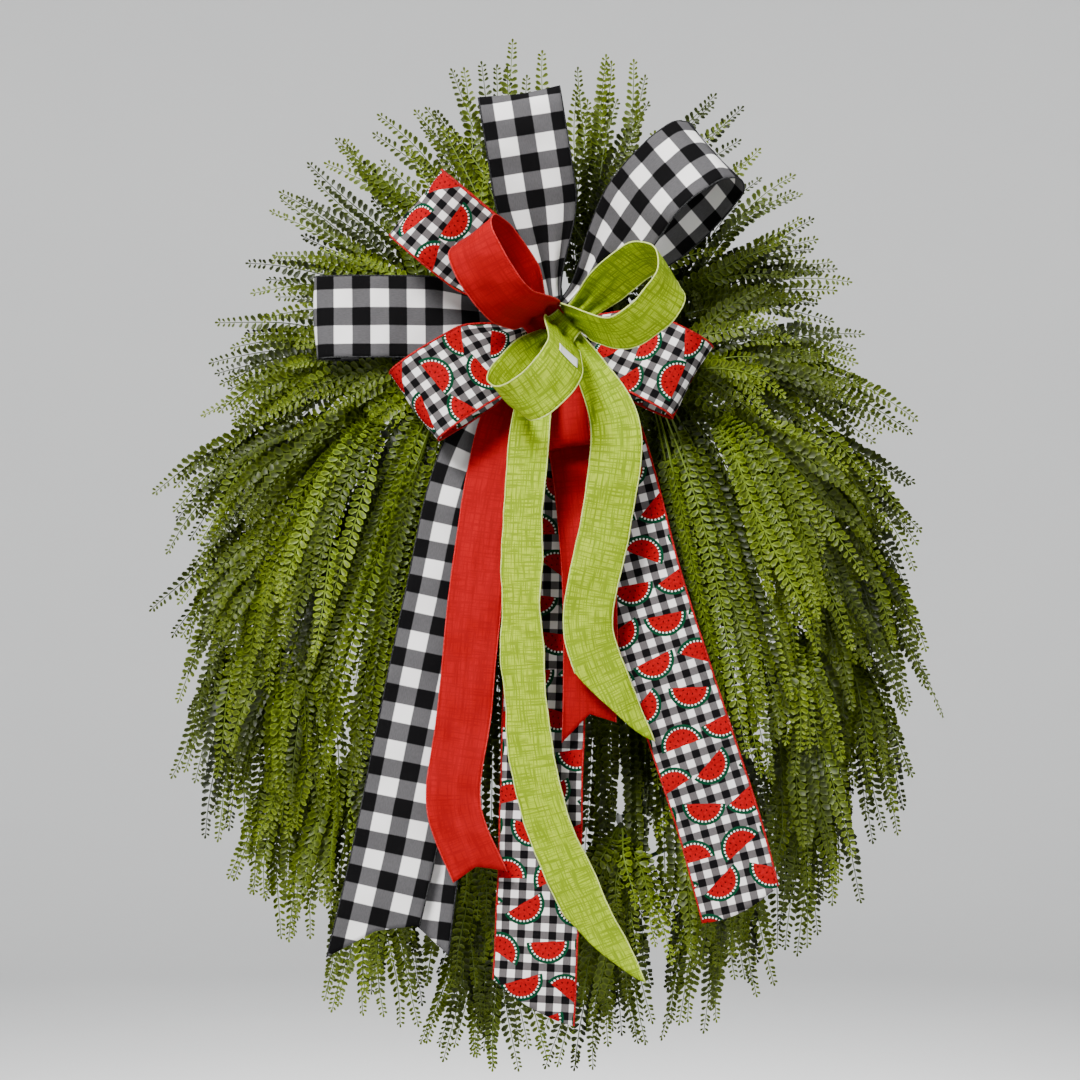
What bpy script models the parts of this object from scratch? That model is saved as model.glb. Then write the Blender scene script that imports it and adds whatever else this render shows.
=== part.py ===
"""Swag wreath: weeping fern bunches on a round wire frame, with a ribbon bow and long tails.

It hangs by a wire loop at the top of the frame. The origin is the point where the hook
bears inside that loop, +Z is up, and the wreath's front faces -Y. Sizes are in metres.
"""

import math
import random

import bmesh
import bpy
from mathutils import Vector

MM = 0.001
FRONT = Vector((0, -1, 0))

# Wire frame
WIRE_R = 1.75 * MM
OUTER_RING_R = 227 * MM
INNER_RING_R = 190 * MM
RING_CENTRE = Vector((0, 0, -254 * MM))
CROSS_WIRES = 6
RING_STEPS = 32

# Hanging loop
LOOP_WIRE_R = 1.2 * MM
LOOP_HALF_WIDTH = 11 * MM
CLEAR = 0.35 * MM

# Foliage outline, measured from the middle of the frame
SIDE_REACH = 300 * MM
TOP_EXTRA = 148 * MM
BOTTOM_EXTRA = 94 * MM

# Bow
BOW = Vector((5 * MM, 0, -44 * MM))
HALF_WIDTHS = {"check": 31.75 * MM, "melon": 31.75 * MM, "red": 20.5 * MM, "green": 19.5 * MM}
RIBBON_THICK = 1.0 * MM
NECK_HALF = 7.5 * MM
TIE_R = 9 * MM
TIE_BACK_Y = -60 * MM
TIE_LEVELS = 33
STACK_PITCH = 1.4 * MM
LEVEL_PITCH = 2.0 * MM


def clear_scene():
    for thing in list(bpy.data.objects):
        bpy.data.objects.remove(thing)


def material(name, colour, roughness, metallic=0.0):
    made = bpy.data.materials.new(name)
    made.use_nodes = True
    shader = made.node_tree.nodes["Principled BSDF"]
    shader.inputs["Base Color"].default_value = (*colour, 1)
    shader.inputs["Roughness"].default_value = roughness
    shader.inputs["Metallic"].default_value = metallic
    return made


def put(name, mesh, finish):
    """A named object made from a bmesh or a mesh, in the scene."""
    if isinstance(mesh, bmesh.types.BMesh):
        mesh.normal_update()
        bmesh.ops.recalc_face_normals(mesh, faces=mesh.faces)
        made = bpy.data.meshes.new(name)
        mesh.to_mesh(made)
        mesh.free()
        mesh = made
    mesh.materials.clear()
    mesh.materials.append(finish)
    thing = bpy.data.objects.new(name, mesh)
    bpy.context.scene.collection.objects.link(thing)
    return thing


def smooth(x):
    """0 to 1, with level ends."""
    x = min(1.0, max(0.0, x))
    return x * x * (3 - 2 * x)


def spline(points, t):
    """A smooth curve through rows of numbers, t from 0 to 1."""
    spans = len(points) - 1
    i = min(spans - 1, int(t * spans))
    u = t * spans - i
    rows = [points[max(0, min(spans, i + k))] for k in (-1, 0, 1, 2)]
    found = []
    for a, b, c, d in zip(*rows):
        found.append(
            b + 0.5 * u * (c - a + u * (2 * a - 5 * b + 4 * c - d + u * (3 * (b - c) + d - a)))
        )
    return found


def tube(points, radius, sides):
    """A closed round bar of few sides along the points, as a bmesh."""
    bm = bmesh.new()
    rings = []
    across = None
    for i, point in enumerate(points):
        before, after = points[max(0, i - 1)], points[min(len(points) - 1, i + 1)]
        along = (after - before).normalized()
        if across is None:
            across = along.orthogonal().normalized()
        across = (across - along * across.dot(along)).normalized()
        other = along.cross(across)
        ring = []
        for k in range(sides):
            turn = math.tau * k / sides
            offset = (across * math.cos(turn) + other * math.sin(turn)) * radius
            ring.append(bm.verts.new(point + offset))
        rings.append(ring)
    for first, second in zip(rings, rings[1:]):
        for k in range(sides):
            n = (k + 1) % sides
            bm.faces.new((first[k], first[n], second[n], second[k]))
    bm.faces.new(rings[0])
    bm.faces.new(rings[-1])
    return bm


def ring_tube(radius, thickness, steps, sides):
    """A closed torus about the middle of the frame, in its plane."""
    bm = bmesh.new()
    start = Vector((radius, 0, 0))
    section = []
    for k in range(sides):
        turn = math.tau * k / sides
        section.append(bm.verts.new(start + Vector((math.cos(turn), math.sin(turn), 0)) * thickness))
    edges = [bm.edges.new((section[k], section[(k + 1) % sides])) for k in range(sides)]
    bmesh.ops.spin(
        bm, geom=section + edges, cent=(0, 0, 0), axis=(0, 1, 0),
        angle=math.tau, steps=steps, use_merge=True,
    )
    bmesh.ops.remove_doubles(bm, verts=bm.verts, dist=1e-6)
    bmesh.ops.translate(bm, verts=bm.verts, vec=RING_CENTRE)
    return bm


def joined(name, first, others, finish):
    """One solid from overlapping ones, by a Boolean union."""
    body = put(name, first, finish)
    if not others:
        return body
    group = bpy.data.collections.new(name + "_parts")
    bpy.context.scene.collection.children.link(group)
    pieces = []
    for other in others:
        piece = put(name + "_piece", other, finish)
        bpy.context.scene.collection.objects.unlink(piece)
        group.objects.link(piece)
        pieces.append(piece)
    union = body.modifiers.new("union", "BOOLEAN")
    union.operation = "UNION"
    union.operand_type = "COLLECTION"
    union.collection = group
    union.solver = "MANIFOLD"
    bpy.context.view_layer.update()
    graph = bpy.context.evaluated_depsgraph_get()
    mesh = bpy.data.meshes.new_from_object(body.evaluated_get(graph))
    body.modifiers.clear()
    body.data = mesh
    for piece in pieces:
        bpy.data.objects.remove(piece)
    bpy.data.collections.remove(group)
    return body


def polar(degrees, radius):
    """A point in the frame's plane, at an angle from +X and a distance from its middle."""
    turn = math.radians(degrees)
    return RING_CENTRE + Vector((math.cos(turn), 0, math.sin(turn))) * radius


def wire_at(degrees, ring_radius):
    """The middle of a ring's wire at this angle; the ring is faceted, so its chords dip in."""
    step = math.tau / RING_STEPS
    turn = math.radians(degrees) % step - step / 2
    return polar(degrees, ring_radius * math.cos(step / 2) / math.cos(turn))


def heading(degrees):
    turn = math.radians(degrees)
    return Vector((math.cos(turn), 0, math.sin(turn)))


# Frame and hanging loop


def wire_frame(steel):
    """Two rings of plain wire, joined by short cross wires."""
    parts = [ring_tube(INNER_RING_R, WIRE_R, RING_STEPS, 5)]
    overlap = 1.2 * MM
    for k in range(CROSS_WIRES):
        angle = 360 * (k + 0.4) / CROSS_WIRES
        ends = [polar(angle, INNER_RING_R - overlap), polar(angle, OUTER_RING_R + overlap)]
        parts.append(tube(ends, 1.3 * MM, 4))
    return joined("wire_frame", ring_tube(OUTER_RING_R, WIRE_R, RING_STEPS, 5), parts, steel)


def hanging_loop(steel):
    """A wire loop whose two ends are wound once round the outer ring."""
    wind = WIRE_R + CLEAR + LOOP_WIRE_R + 0.35 * MM
    points = []
    for step in range(9):
        turn = math.radians(-90 - 45 * step)
        x = -LOOP_HALF_WIDTH - (8 - step) * 0.55 * MM
        wire = wire_at(90 + math.degrees(math.atan(-x / OUTER_RING_R)), OUTER_RING_R)
        points.append(Vector((x, wind * math.sin(turn), wire.z - wind * math.cos(turn))))
    foot = points[-1].z + wind
    half = []
    for step in range(1, 7):
        turn = math.radians(180 - 90 * step / 6)
        rise = (LOOP_WIRE_R - foot) * math.sin(turn)
        half.append(Vector((LOOP_HALF_WIDTH * math.cos(turn), 0, foot + rise)))
    side = points + half
    mirrored = [Vector((-p.x, p.y, p.z)) for p in reversed(side[:-1])]
    return put("hanging_loop", tube(side + mirrored, LOOP_WIRE_R, 5), steel)


# Fern bunches


def outline_reach(degrees):
    """How far the leaf tips reach from the middle of the frame in this direction."""
    rise = math.sin(math.radians(degrees))
    return SIDE_REACH + TOP_EXTRA * max(0.0, rise) ** 3 + BOTTOM_EXTRA * min(0.0, rise) ** 2


class Layer:
    """A shell of leafy stems: how far its tips reach, and how far it stands off the door."""

    def __init__(self, reach, root_y, crest_y, tip_y, half_width, leaf_start, pairs, rise=0.4):
        self.reach = reach
        self.root_y = root_y * MM
        self.crest_y = crest_y * MM
        self.tip_y = tip_y * MM
        self.half_width = half_width * MM
        self.leaf_start = leaf_start
        self.pairs = pairs
        self.rise = rise


# The layers from the door outwards. Each bunch has one stem in each of its ring's layers.
OUTER_LAYERS = (
    Layer(1.00, -9, -24, -14, 27, 0.36, 3),
    Layer(0.96, -16, -34, -26, 27, 0.34, 3),
    Layer(0.88, -23, -44, -38, 28, 0.16, 4),
    Layer(0.79, -30, -54, -50, 28, 0.10, 4),
)
INNER_LAYERS = (
    Layer(0.86, -43, -66, -62, 30, 0.34, 3),
    Layer(0.76, -51, -76, -72, 31, 0.16, 5),
    Layer(0.66, -59, -86, -82, 31, 0.08, 5),
)
CURTAIN_LAYERS = (
    Layer(1.00, -57, -90, -91, 25, 0.18, 6, 0.22),
    Layer(1.00, -63, -98, -98, 25, 0.14, 6, 0.22),
    Layer(1.00, -69, -106, -104, 25, 0.10, 6, 0.22),
)


class Stem:
    """One leafy stem, from its bunch's stalk to its tip."""

    def __init__(self, bunch, layer, root, tip, bow_room=0.0, forward=0.0):
        self.bunch = bunch
        self.layer = layer
        scatter = Vector((random.uniform(-1, 1), random.uniform(-1, 1), random.uniform(-1, 1)))
        root = root + scatter * 0.8 * MM
        self.root = root
        self.tip = tip
        self.root_shift = scatter.y * 0.8 * MM - forward
        chord = tip - root
        angle = math.degrees(math.atan2(chord.z, chord.x))
        droop = 20 * abs(math.cos(math.radians(angle)))
        turn = math.copysign(droop, math.cos(math.radians(angle)))
        third = chord.length / 3
        self.handles = (
            root,
            root + heading(angle + turn) * third,
            tip - heading(angle - turn) * third,
            tip,
        )
        self.bow_room = bow_room
        self.roll = random.uniform(-5, 5)

    def flat_point(self, t):
        a, b, c, d = self.handles
        s = 1 - t
        return a * s**3 + b * (3 * s * s * t) + c * (3 * s * t * t) + d * t**3

    def point(self, t):
        """A point of the stem: it rises off the frame to a crest and falls back at the tip."""
        flat = self.flat_point(t)
        layer = self.layer
        rise = smooth(t / layer.rise)
        fall = smooth((t - layer.rise) / (1 - layer.rise))
        y = layer.root_y + (layer.crest_y - layer.root_y) * rise + (layer.tip_y - layer.crest_y) * fall
        room = self.bow_room * (1 - smooth((t - 0.45) / 0.25))
        return Vector((flat.x, y * (1 - room) + self.root_shift, flat.z))

    def axes(self, t):
        """The directions along, across and out of the leafy surface."""
        step = 0.01
        low, high = max(0, t - step), min(1, t + step)
        along = (self.point(high) - self.point(low)).normalized()
        across = along.cross(FRONT).normalized()
        out = across.cross(along)
        turn = math.radians(self.roll) * smooth(t / 0.3)
        return along, across * math.cos(turn) + out * math.sin(turn), out * math.cos(turn) - across * math.sin(turn)


STALK_R = 3.6 * MM
STEM_HALF = 1.5 * MM
RIB_HALF = 1.1 * MM
LEAST_HALF = 4 * MM
# The two outer corners of a leaflet: how far on in its pitch, and how wide
LEAF_CORNERS = ((0.70, 1.0), (1.42, 0.93))
CUP = 0.13


def blade(stem, crowd):
    """A leafy stem as one arched blade, thick at its rib and cut into leaflets down to it."""
    bm = bmesh.new()
    pairs = stem.layer.pairs
    spots = [0.0]
    start = stem.layer.leaf_start
    spots += [start + (0.93 - start) * i / pairs for i in range(pairs + 1)]
    rings = []
    for t in spots:
        point = stem.point(t)
        _, across, out = stem.axes(t)
        offsets = (out * RIB_HALF, across * STEM_HALF, -out * RIB_HALF, -across * STEM_HALF)
        rings.append([bm.verts.new(point + offset) for offset in offsets])
    for i, (first, second) in enumerate(zip(rings, rings[1:])):
        if i == 0:
            for k in range(4):
                n = (k + 1) % 4
                bm.faces.new((first[k], first[n], second[n], second[k]))
            continue
        pitch = spots[i + 1] - spots[i]
        for side, sign in ((1, 1), (3, -1)):
            corners = []
            for onward, share in LEAF_CORNERS:
                t = min(spots[i] + onward * pitch, 0.985)
                _, across, out = stem.axes(t)
                half = blade_half(stem, t, crowd) * share
                spot = stem.point(t) + across * (sign * half) - out * (CUP * half)
                corners.append(bm.verts.new(spot))
            for face in (0, 2):
                fan = (first[side], *corners, second[side], second[face])
                for p, q in zip(fan, fan[1:]):
                    bm.faces.new((first[face], p, q))
    end = bm.verts.new(stem.point(1.0))
    last = rings[-1]
    for k in range(4):
        bm.faces.new((last[k], last[(k + 1) % 4], end))
    bm.faces.new(rings[0])
    return bm


def blade_half(stem, t, crowd):
    """Half the blade's width at t: a long leaf shape, kept clear of its neighbours."""
    shape = math.sin(math.pi * min(1.0, 0.2 + 0.8 * t) ** 1.2) ** 0.6
    wanted = stem.layer.half_width * shape
    here = stem.flat_point(t)
    room = min(((here - spot).length for spot in crowd), default=1.0)
    return max(min(wanted, 0.48 * room - 1.0 * MM), LEAST_HALF * (1.15 - t))


def neighbours(stem, stems):
    """Points along the other stems of the same layer, which a blade has to leave room for."""
    found = []
    for other in stems:
        if other is not stem and other.layer is stem.layer:
            found += [other.flat_point(k / 12) for k in range(13)]
    return found


def stalk(root, ring_radius, angle, front_y):
    """A wired stalk standing forward from the ring, its end bent round the ring wire."""
    out = heading(angle)
    wire = wire_at(angle, ring_radius)
    seat = WIRE_R + CLEAR
    bend = seat + 1.2 * MM
    hook = [
        wire - out * 1.0 * MM - FRONT * bend,
        wire + out * bend * 0.85 - FRONT * bend * 0.85,
        wire + out * bend + FRONT * bend * 0.6,
        wire + out * bend * 0.5 + FRONT * (seat + 2.5 * MM),
    ]
    post = [wire + FRONT * seat, root.copy()]
    post[1].y = front_y
    return tube(post, STALK_R, 4), tube(hook, 1.4 * MM, 3)


OUTER_BUNCHES = 18
INNER_BUNCHES = 12
INNER_START = 42


def fanned(bunch, root, around, layer):
    """A stem whose tip lies on the foliage's outline, drawn in to its layer's reach."""
    tip_angle = 90 + around + 15 * math.sin(math.radians(around)) + random.uniform(-1.5, 1.5)
    reach = layer.reach * random.uniform(0.965, 1.0)
    tip = polar(tip_angle, outline_reach(tip_angle) * reach)
    return Stem(bunch, layer, root, tip)


def bunch_plan():
    """The bunches: name, ring radius, crown angle, how far the stalk stands out, and stems."""
    random.seed(7)
    plans = []
    step = 360 / OUTER_BUNCHES
    for k in range(OUTER_BUNCHES):
        c = step * (k + 0.5) - 180
        crown = 90 + c - 14 * math.sin(math.radians(c))
        root = polar(crown, OUTER_RING_R)
        stems = []
        for i, layer in enumerate(OUTER_LAYERS):
            around = c + step * (-0.25, 0.25, 0.02, -0.45)[i]
            stems.append(fanned(k, root, around, layer))
        plans.append((f"fern_outer_{k + 1:02d}", OUTER_RING_R, crown, -33 * MM, stems))
    step = (360 - 2 * INNER_START) / (INNER_BUNCHES - 1)
    for k in range(INNER_BUNCHES):
        c = INNER_START + step * k
        crown = 90 + c - 22 * math.sin(math.radians(c))
        root = polar(crown, INNER_RING_R)
        stems = []
        for i, layer in enumerate(INNER_LAYERS):
            around = c + step * (-0.25, 0.25, 0.0)[i]
            stems.append(fanned(k, root, around, layer))
        plans.append((f"fern_inner_{k + 1:02d}", INNER_RING_R, crown, -62 * MM, stems))
    return plans + curtain_plan()


CURTAINS = (
    # crown angle on the inner ring, how far forward it is wired, how far its stems keep back
    # under the bow, then the three tips: x and z from the frame's middle
    (131, 6, 0.0, ((-226, 30), (-214, -8), (-200, -42))),
    (112, 0, 0.0, ((-190, -84), (-172, -118), (-156, -152))),
    (105, 0, 0.1, ((-142, -188), (-120, -208), (-98, -226))),
    (49, 6, 0.0, ((226, 30), (214, -8), (200, -42))),
    (67, 0, 0.0, ((190, -84), (172, -118), (156, -152))),
    (75, 0, 0.1, ((142, -188), (126, -208), (112, -226))),
)


def curtain_plan():
    """Bunches wired high inside the ring, whose stems hang over it and beside the hole."""
    plans = []
    for k, (crown, forward, room, tips) in enumerate(CURTAINS):
        root = polar(crown, INNER_RING_R)
        stems = []
        for (x, z), layer in zip(tips, CURTAIN_LAYERS):
            tip = RING_CENTRE + Vector((x * MM, 0, z * MM))
            stems.append(Stem(k, layer, root, tip, room, forward * MM))
        front_y = -(72 + forward) * MM
        plans.append((f"fern_curtain_{k + 1}", INNER_RING_R, crown, front_y, stems))
    return plans


def fern_bunches(leaf):
    plans = bunch_plan()
    every = [stem for plan in plans for stem in plan[4]]
    for name, ring_radius, crown, front_y, stems in plans:
        post, hook = stalk(stems[0].root, ring_radius, crown, front_y)
        parts = [hook]
        for stem in stems:
            parts.append(blade(stem, neighbours(stem, every)))
        joined(name, post, parts, leaf)


# Bow


class Ribbon:
    """A ribbon's middle surface, as stations along it."""

    def __init__(self, name, cloth, stations, cut=0.0, slant=0.0):
        self.name = name
        self.cloth = cloth
        self.stations = stations
        self.cut = cut
        self.slant = slant


def tie_level(index):
    """Where on the tie a ribbon end sits, counted from the back; past its end they stack up."""
    if index < TIE_LEVELS:
        return TIE_BACK_Y - LEVEL_PITCH * (index + 1)
    stacked = RIBBON_THICK / 2 + CLEAR + STACK_PITCH * (index - TIE_LEVELS)
    return TIE_BACK_Y - LEVEL_PITCH * TIE_LEVELS - stacked


LOOPS = (
    # name, cloth, heading, length, bulge, roll, lift, back level, front level, root x and z
    ("plaid_loop_left", "check", 179, 178, 15, 0, 3, 5.3, 8, 0, 0),
    ("plaid_loop_top", "check", 99, 174, 18, 0, 6, 6.2, 9, 0, 0),
    ("plaid_loop_right", "check", 42, 172, 52, -24, 9, 7.1, 10, 0, 0),
    ("melon_loop_lower", "melon", 214, 134, 26, 6, 14, 12, 16, 0, 0),
    ("melon_loop_upper", "melon", 141, 140, 26, -6, 14, 13, 17, 0, 0),
    ("melon_loop_right", "melon", 333, 120, 24, -8, 12, 14, 18, 0, 0),
    ("red_loop_lower", "red", 275, 104, 12, 8, 10, 21, 23, 0, 0),
    ("green_loop_right", "green", 42, 80, 56, 24, 22, 33, 36, 13, -4),
    ("green_loop_lower", "green", 226, 72, 56, -24, 24, 34, 38, 3, -14),
    ("red_loop_top", "red", 124, 82, 56, -20, 24, 33, 37, -11, -1),
)

# Side views of a loop: how far out, as a share of its length, and forward, of its bulge
SLIM_LOOP = (
    (0, 0), (0.14, 0.1), (0.4, 0.55), (0.7, 1.0), (0.93, 0.95), (1.0, 0.5),
    (0.95, 0.05), (0.7, -0.12), (0.4, -0.08), (0.14, -0.02), (0, 0),
)
ROUND_LOOP = (
    (0, 0), (0.02, 0.4), (0.22, 0.86), (0.55, 1.0), (0.88, 0.84), (1.0, 0.45),
    (0.9, 0.1), (0.62, 0.0), (0.35, 0.0), (0.12, 0.0), (0, 0),
)
LOOP_STATIONS = 15


def loop_ribbon(row):
    """A loop that leaves the tie, bulges to the front, turns back at its far end and returns."""
    name, cloth, angle, length, bulge, roll, lift, back, front, root_x, root_z = row
    out = heading(angle)
    side = heading(angle + 90)
    lean = math.radians(lift)
    reach_way = out * math.cos(lean) + FRONT * math.sin(lean)
    stacked = back >= TIE_LEVELS
    face_way = FRONT if stacked else FRONT * math.cos(lean) - out * math.sin(lean)
    middle = (tie_level(back) + tie_level(front)) / 2
    gap = tie_level(back) - tie_level(front)
    start = 0.0 if stacked else TIE_R + CLEAR
    neck = 9 * MM if stacked else NECK_HALF
    root = BOW + Vector((root_x * MM, middle, root_z * MM)) + out * start
    stations = []
    for i in range(LOOP_STATIONS):
        t = i / (LOOP_STATIONS - 1)
        near = min(t, 1 - t)
        turn = math.radians(roll) * smooth(near / 0.2)
        away = face_way * math.cos(turn) - side * math.sin(turn)
        width = side * math.cos(turn) + face_way * math.sin(turn)
        onward, forward = spline(ROUND_LOOP if stacked else SLIM_LOOP, t)
        point = root + reach_way * (onward * (length * MM - start))
        point += FRONT * (gap / 2 * math.cos(math.pi * t)) + away * (forward * bulge * MM)
        half = neck + (HALF_WIDTHS[cloth] - neck) * smooth(near / (0.16 if stacked else 0.26))
        stations.append((point, width, half))
    return Ribbon(name, cloth, stations)


TAILS = (
    # name, cloth, level on the tie, how the end is cut: depth of the notch and the slant; how
    # soon it opens to its full width; then points down the tail from the tie: x and z from the
    # bow, y, and the roll in degrees
    ("plaid_tail_back", "check", -0.6, 10, 12, 0.22, (
        (-17, -42, -70.5, 0), (-50, -130, -99, -4), (-76, -230, -109, -4),
        (-93, -330, -112, 0), (-104, -420, -115, 4), (-110, -470, -116, 6))),
    ("plaid_tail_short", "check", 0.6, 20, 0, 0.22, (
        (15, -42, -74.5, 0), (28, -120, -98, 2), (34, -200, -107, 2),
        (34, -256, -109, 0), (30, -300, -109, 0))),
    ("plaid_tail_left", "check", 1.9, 8, -20, 0.22, (
        (-19, -42, -80, 0), (-60, -120, -107, 0), (-82, -215, -117, -2),
        (-104, -320, -122, 2), (-122, -410, -126, 0), (-137, -474, -128, -4))),
    ("melon_tail_right", "melon", 3.1, 10, 8, 0.22, (
        (20, -42, -83.5, 0), (44, -120, -109, 5), (66, -205, -117, 4),
        (93, -290, -121, 0), (124, -385, -124, 4), (140, -446, -128, 8))),
    ("melon_tail_middle", "melon", 4.3, 0, 16, 0.22, (
        (-2, -42, -86.5, 0), (-4, -120, -112, 2), (-6, -220, -121, 8),
        (-9, -320, -124, 10), (-12, -430, -128, 10), (-16, -520, -130, 4))),
    ("red_tail_left", "red", 11, 8, 4, 0.22, (
        (-22, -42, -90.5, 0), (-42, -101, -111, 6), (-58, -200, -130, 6),
        (-68, -300, -134, 6), (-76, -370, -138, 6), (-56, -424, -138, 6))),
    ("red_tail_right", "red", 15.2, 14, -8, 0.22, (
        (4, -42, -101, 0), (16, -100, -112, 0), (24, -170, -129, -4),
        (27, -240, -134, -6), (26, -316, -135, -6))),
    ("green_tail_left", "green", 25, 0, 34, 0.22, (
        (-10, -42, -129, 0), (-19, -92, -143, 12), (-25, -190, -149, 22),
        (-22, -290, -150, 26), (-7, -378, -150, 26), (38, -478, -146, 26))),
    ("green_tail_right", "green", 28, 0, 36, 0.35, (
        (28, -44, -137, 0), (46, -90, -147, -6), (38, -160, -148, -12),
        (25, -235, -148, -16), (46, -296, -144, -24))),
)

TAIL_STATIONS = 14


def tail_ribbon(row):
    """A tail that leaves the tie downwards and hangs, turning a little as it falls."""
    name, cloth, level, cut, slant, opening, points = row
    first = points[0]
    lead = heading(math.degrees(math.atan2(first[1], first[0])))
    start = lead * (TIE_R + 2 * CLEAR)
    rows = [(start.x / MM, start.z / MM, tie_level(level) / MM, 0.0), *points]
    stations = []
    for i in range(TAIL_STATIONS):
        t = i / (TAIL_STATIONS - 1)
        x, z, y, roll = spline(rows, t)
        low, high = spline(rows, max(0, t - 0.01)), spline(rows, min(1, t + 0.01))
        along = Vector((high[0] - low[0], high[2] - low[2], high[1] - low[1])).normalized()
        across = FRONT.cross(along).normalized()
        face = along.cross(across)
        turn = math.radians(roll)
        width = across * math.cos(turn) + face * math.sin(turn)
        half = NECK_HALF + (HALF_WIDTHS[cloth] - NECK_HALF) * smooth(t / opening)
        stations.append((Vector((BOW.x + x * MM, y * MM, BOW.z + z * MM)), width, half))
    return Ribbon(name, cloth, stations, cut * MM, slant * MM)


def ribbon_solid(ribbon, finish):
    """The ribbon as a thin closed strip, split alike on both faces; a tail has a middle line."""
    bm = bmesh.new()
    rings = []
    last = len(ribbon.stations) - 1
    shares = (-1, 0, 1) if ribbon.cut or ribbon.slant else (-1, 1)
    count = 2 * len(shares)
    for i, (point, width, half) in enumerate(ribbon.stations):
        before = ribbon.stations[max(0, i - 1)][0]
        after = ribbon.stations[min(last, i + 1)][0]
        along = (after - before).normalized()
        across = (width - along * width.dot(along)).normalized()
        out = along.cross(across)
        face, back = [], []
        for v in shares:
            spot = point + across * (half * v)
            if i == last:
                spot += along * (ribbon.slant * v - ribbon.cut * (1 - abs(v)))
            face.append(bm.verts.new(spot + out * (RIBBON_THICK / 2)))
            back.append(bm.verts.new(spot - out * (RIBBON_THICK / 2)))
        rings.append(face + back[::-1])
    for first, second in zip(rings, rings[1:]):
        for k in range(count):
            n = (k + 1) % count
            if k < len(shares):
                bm.faces.new((first[k], first[n], second[n]))
                bm.faces.new((first[k], second[n], second[k]))
            else:
                bm.faces.new((first[k], first[n], second[k]))
                bm.faces.new((first[n], second[n], second[k]))
    for ring in (rings[0], rings[-1]):
        for k in range(len(shares) - 1):
            bm.faces.new((ring[k], ring[k + 1], ring[count - 2 - k], ring[count - 1 - k]))
    return put(ribbon.name, bm, finish)


LABEL = (9 * MM, 20 * MM, 0.6 * MM)


def sewn_label(ribbon, paper):
    """A small blank label on the outer face of a loop, long way across the ribbon."""
    (first, width, _), (second, _, _) = ribbon.stations[2:4]
    along = (second - first).normalized()
    across = (width - along * width.dot(along)).normalized()
    out = along.cross(across)
    length, breadth, thick = LABEL
    middle = (first + second) / 2 + across * 2 * MM
    middle += out * (RIBBON_THICK / 2 + 0.3 * MM + thick / 2)
    bm = bmesh.new()
    corners = bmesh.ops.create_cube(bm, size=1)["verts"]
    for vert in corners:
        x, y, z = vert.co
        vert.co = middle + along * (x * length) + across * (y * breadth) + out * (z * thick)
    put("label", bm, paper)


def bow_tie(chenille):
    """Wire wound round the middle of the bow, its two ends hooked round the frame's rings."""
    bm = bmesh.new()
    length = LEVEL_PITCH * TIE_LEVELS
    bmesh.ops.create_cone(
        bm, cap_ends=True, segments=10, radius1=TIE_R, radius2=TIE_R, depth=length
    )
    bmesh.ops.rotate(bm, verts=bm.verts, matrix=Vector((0, 0, 1)).rotation_difference(FRONT).to_matrix())
    bmesh.ops.translate(bm, verts=bm.verts, vec=BOW + Vector((0, TIE_BACK_Y - length / 2, 0)))
    legs = []
    bend = WIRE_R + CLEAR + 2.2 * MM
    for radius, way in ((OUTER_RING_R, 1), (INNER_RING_R, -1)):
        wire = wire_at(90 - math.degrees(math.atan(BOW.x / radius)), radius)
        up = Vector((0, 0, way))
        legs.append(tube([
            BOW + Vector((0, TIE_BACK_Y - 4 * MM, way * 4 * MM)),
            wire + up * bend + FRONT * 12 * MM,
            wire + up * bend - FRONT * bend,
            wire - up * 2.2 * MM - FRONT * bend,
        ], 1.6 * MM, 5))
    return joined("bow_tie", bm, legs, chenille)


def main():
    clear_scene()
    steel = material("coated_wire", (0.05, 0.09, 0.05), 0.45, 0.6)
    leaf = material("fern_plastic", (0.21, 0.33, 0.03), 0.45)
    chenille = material("chenille", (0.10, 0.22, 0.06), 0.9)
    cloths = {
        "check": material("check_ribbon", (0.42, 0.41, 0.40), 0.8),
        "melon": material("melon_ribbon", (0.55, 0.30, 0.29), 0.8),
        "red": material("red_ribbon", (0.68, 0.02, 0.02), 0.75),
        "green": material("green_ribbon", (0.42, 0.58, 0.06), 0.75),
    }
    wire_frame(steel)
    hanging_loop(steel)
    fern_bunches(leaf)
    bow_tie(chenille)
    for row in LOOPS:
        ribbon = loop_ribbon(row)
        ribbon_solid(ribbon, cloths[ribbon.cloth])
        if ribbon.name == "green_loop_lower":
            sewn_label(ribbon, material("label_paper", (0.80, 0.80, 0.78), 0.7))
    for row in TAILS:
        ribbon = tail_ribbon(row)
        ribbon_solid(ribbon, cloths[ribbon.cloth])


main()
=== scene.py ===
# %% [markdown]
# # A fern swag wreath with a ribbon bow
#
# The real object is a round wire frame covered with sprays of moulded fern, and a big bow
# of four ribbons wired to its top. The plain solids of every part are loaded first and stay
# where they are. This lesson then makes the leaves and the cloth that stand in for them.
# All sizes are in metres, Z is up and the front of the wreath looks along -Y.

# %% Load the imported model
import math
import random

import bmesh
import bpy
import numpy as np
from mathutils import Matrix, Vector


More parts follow.
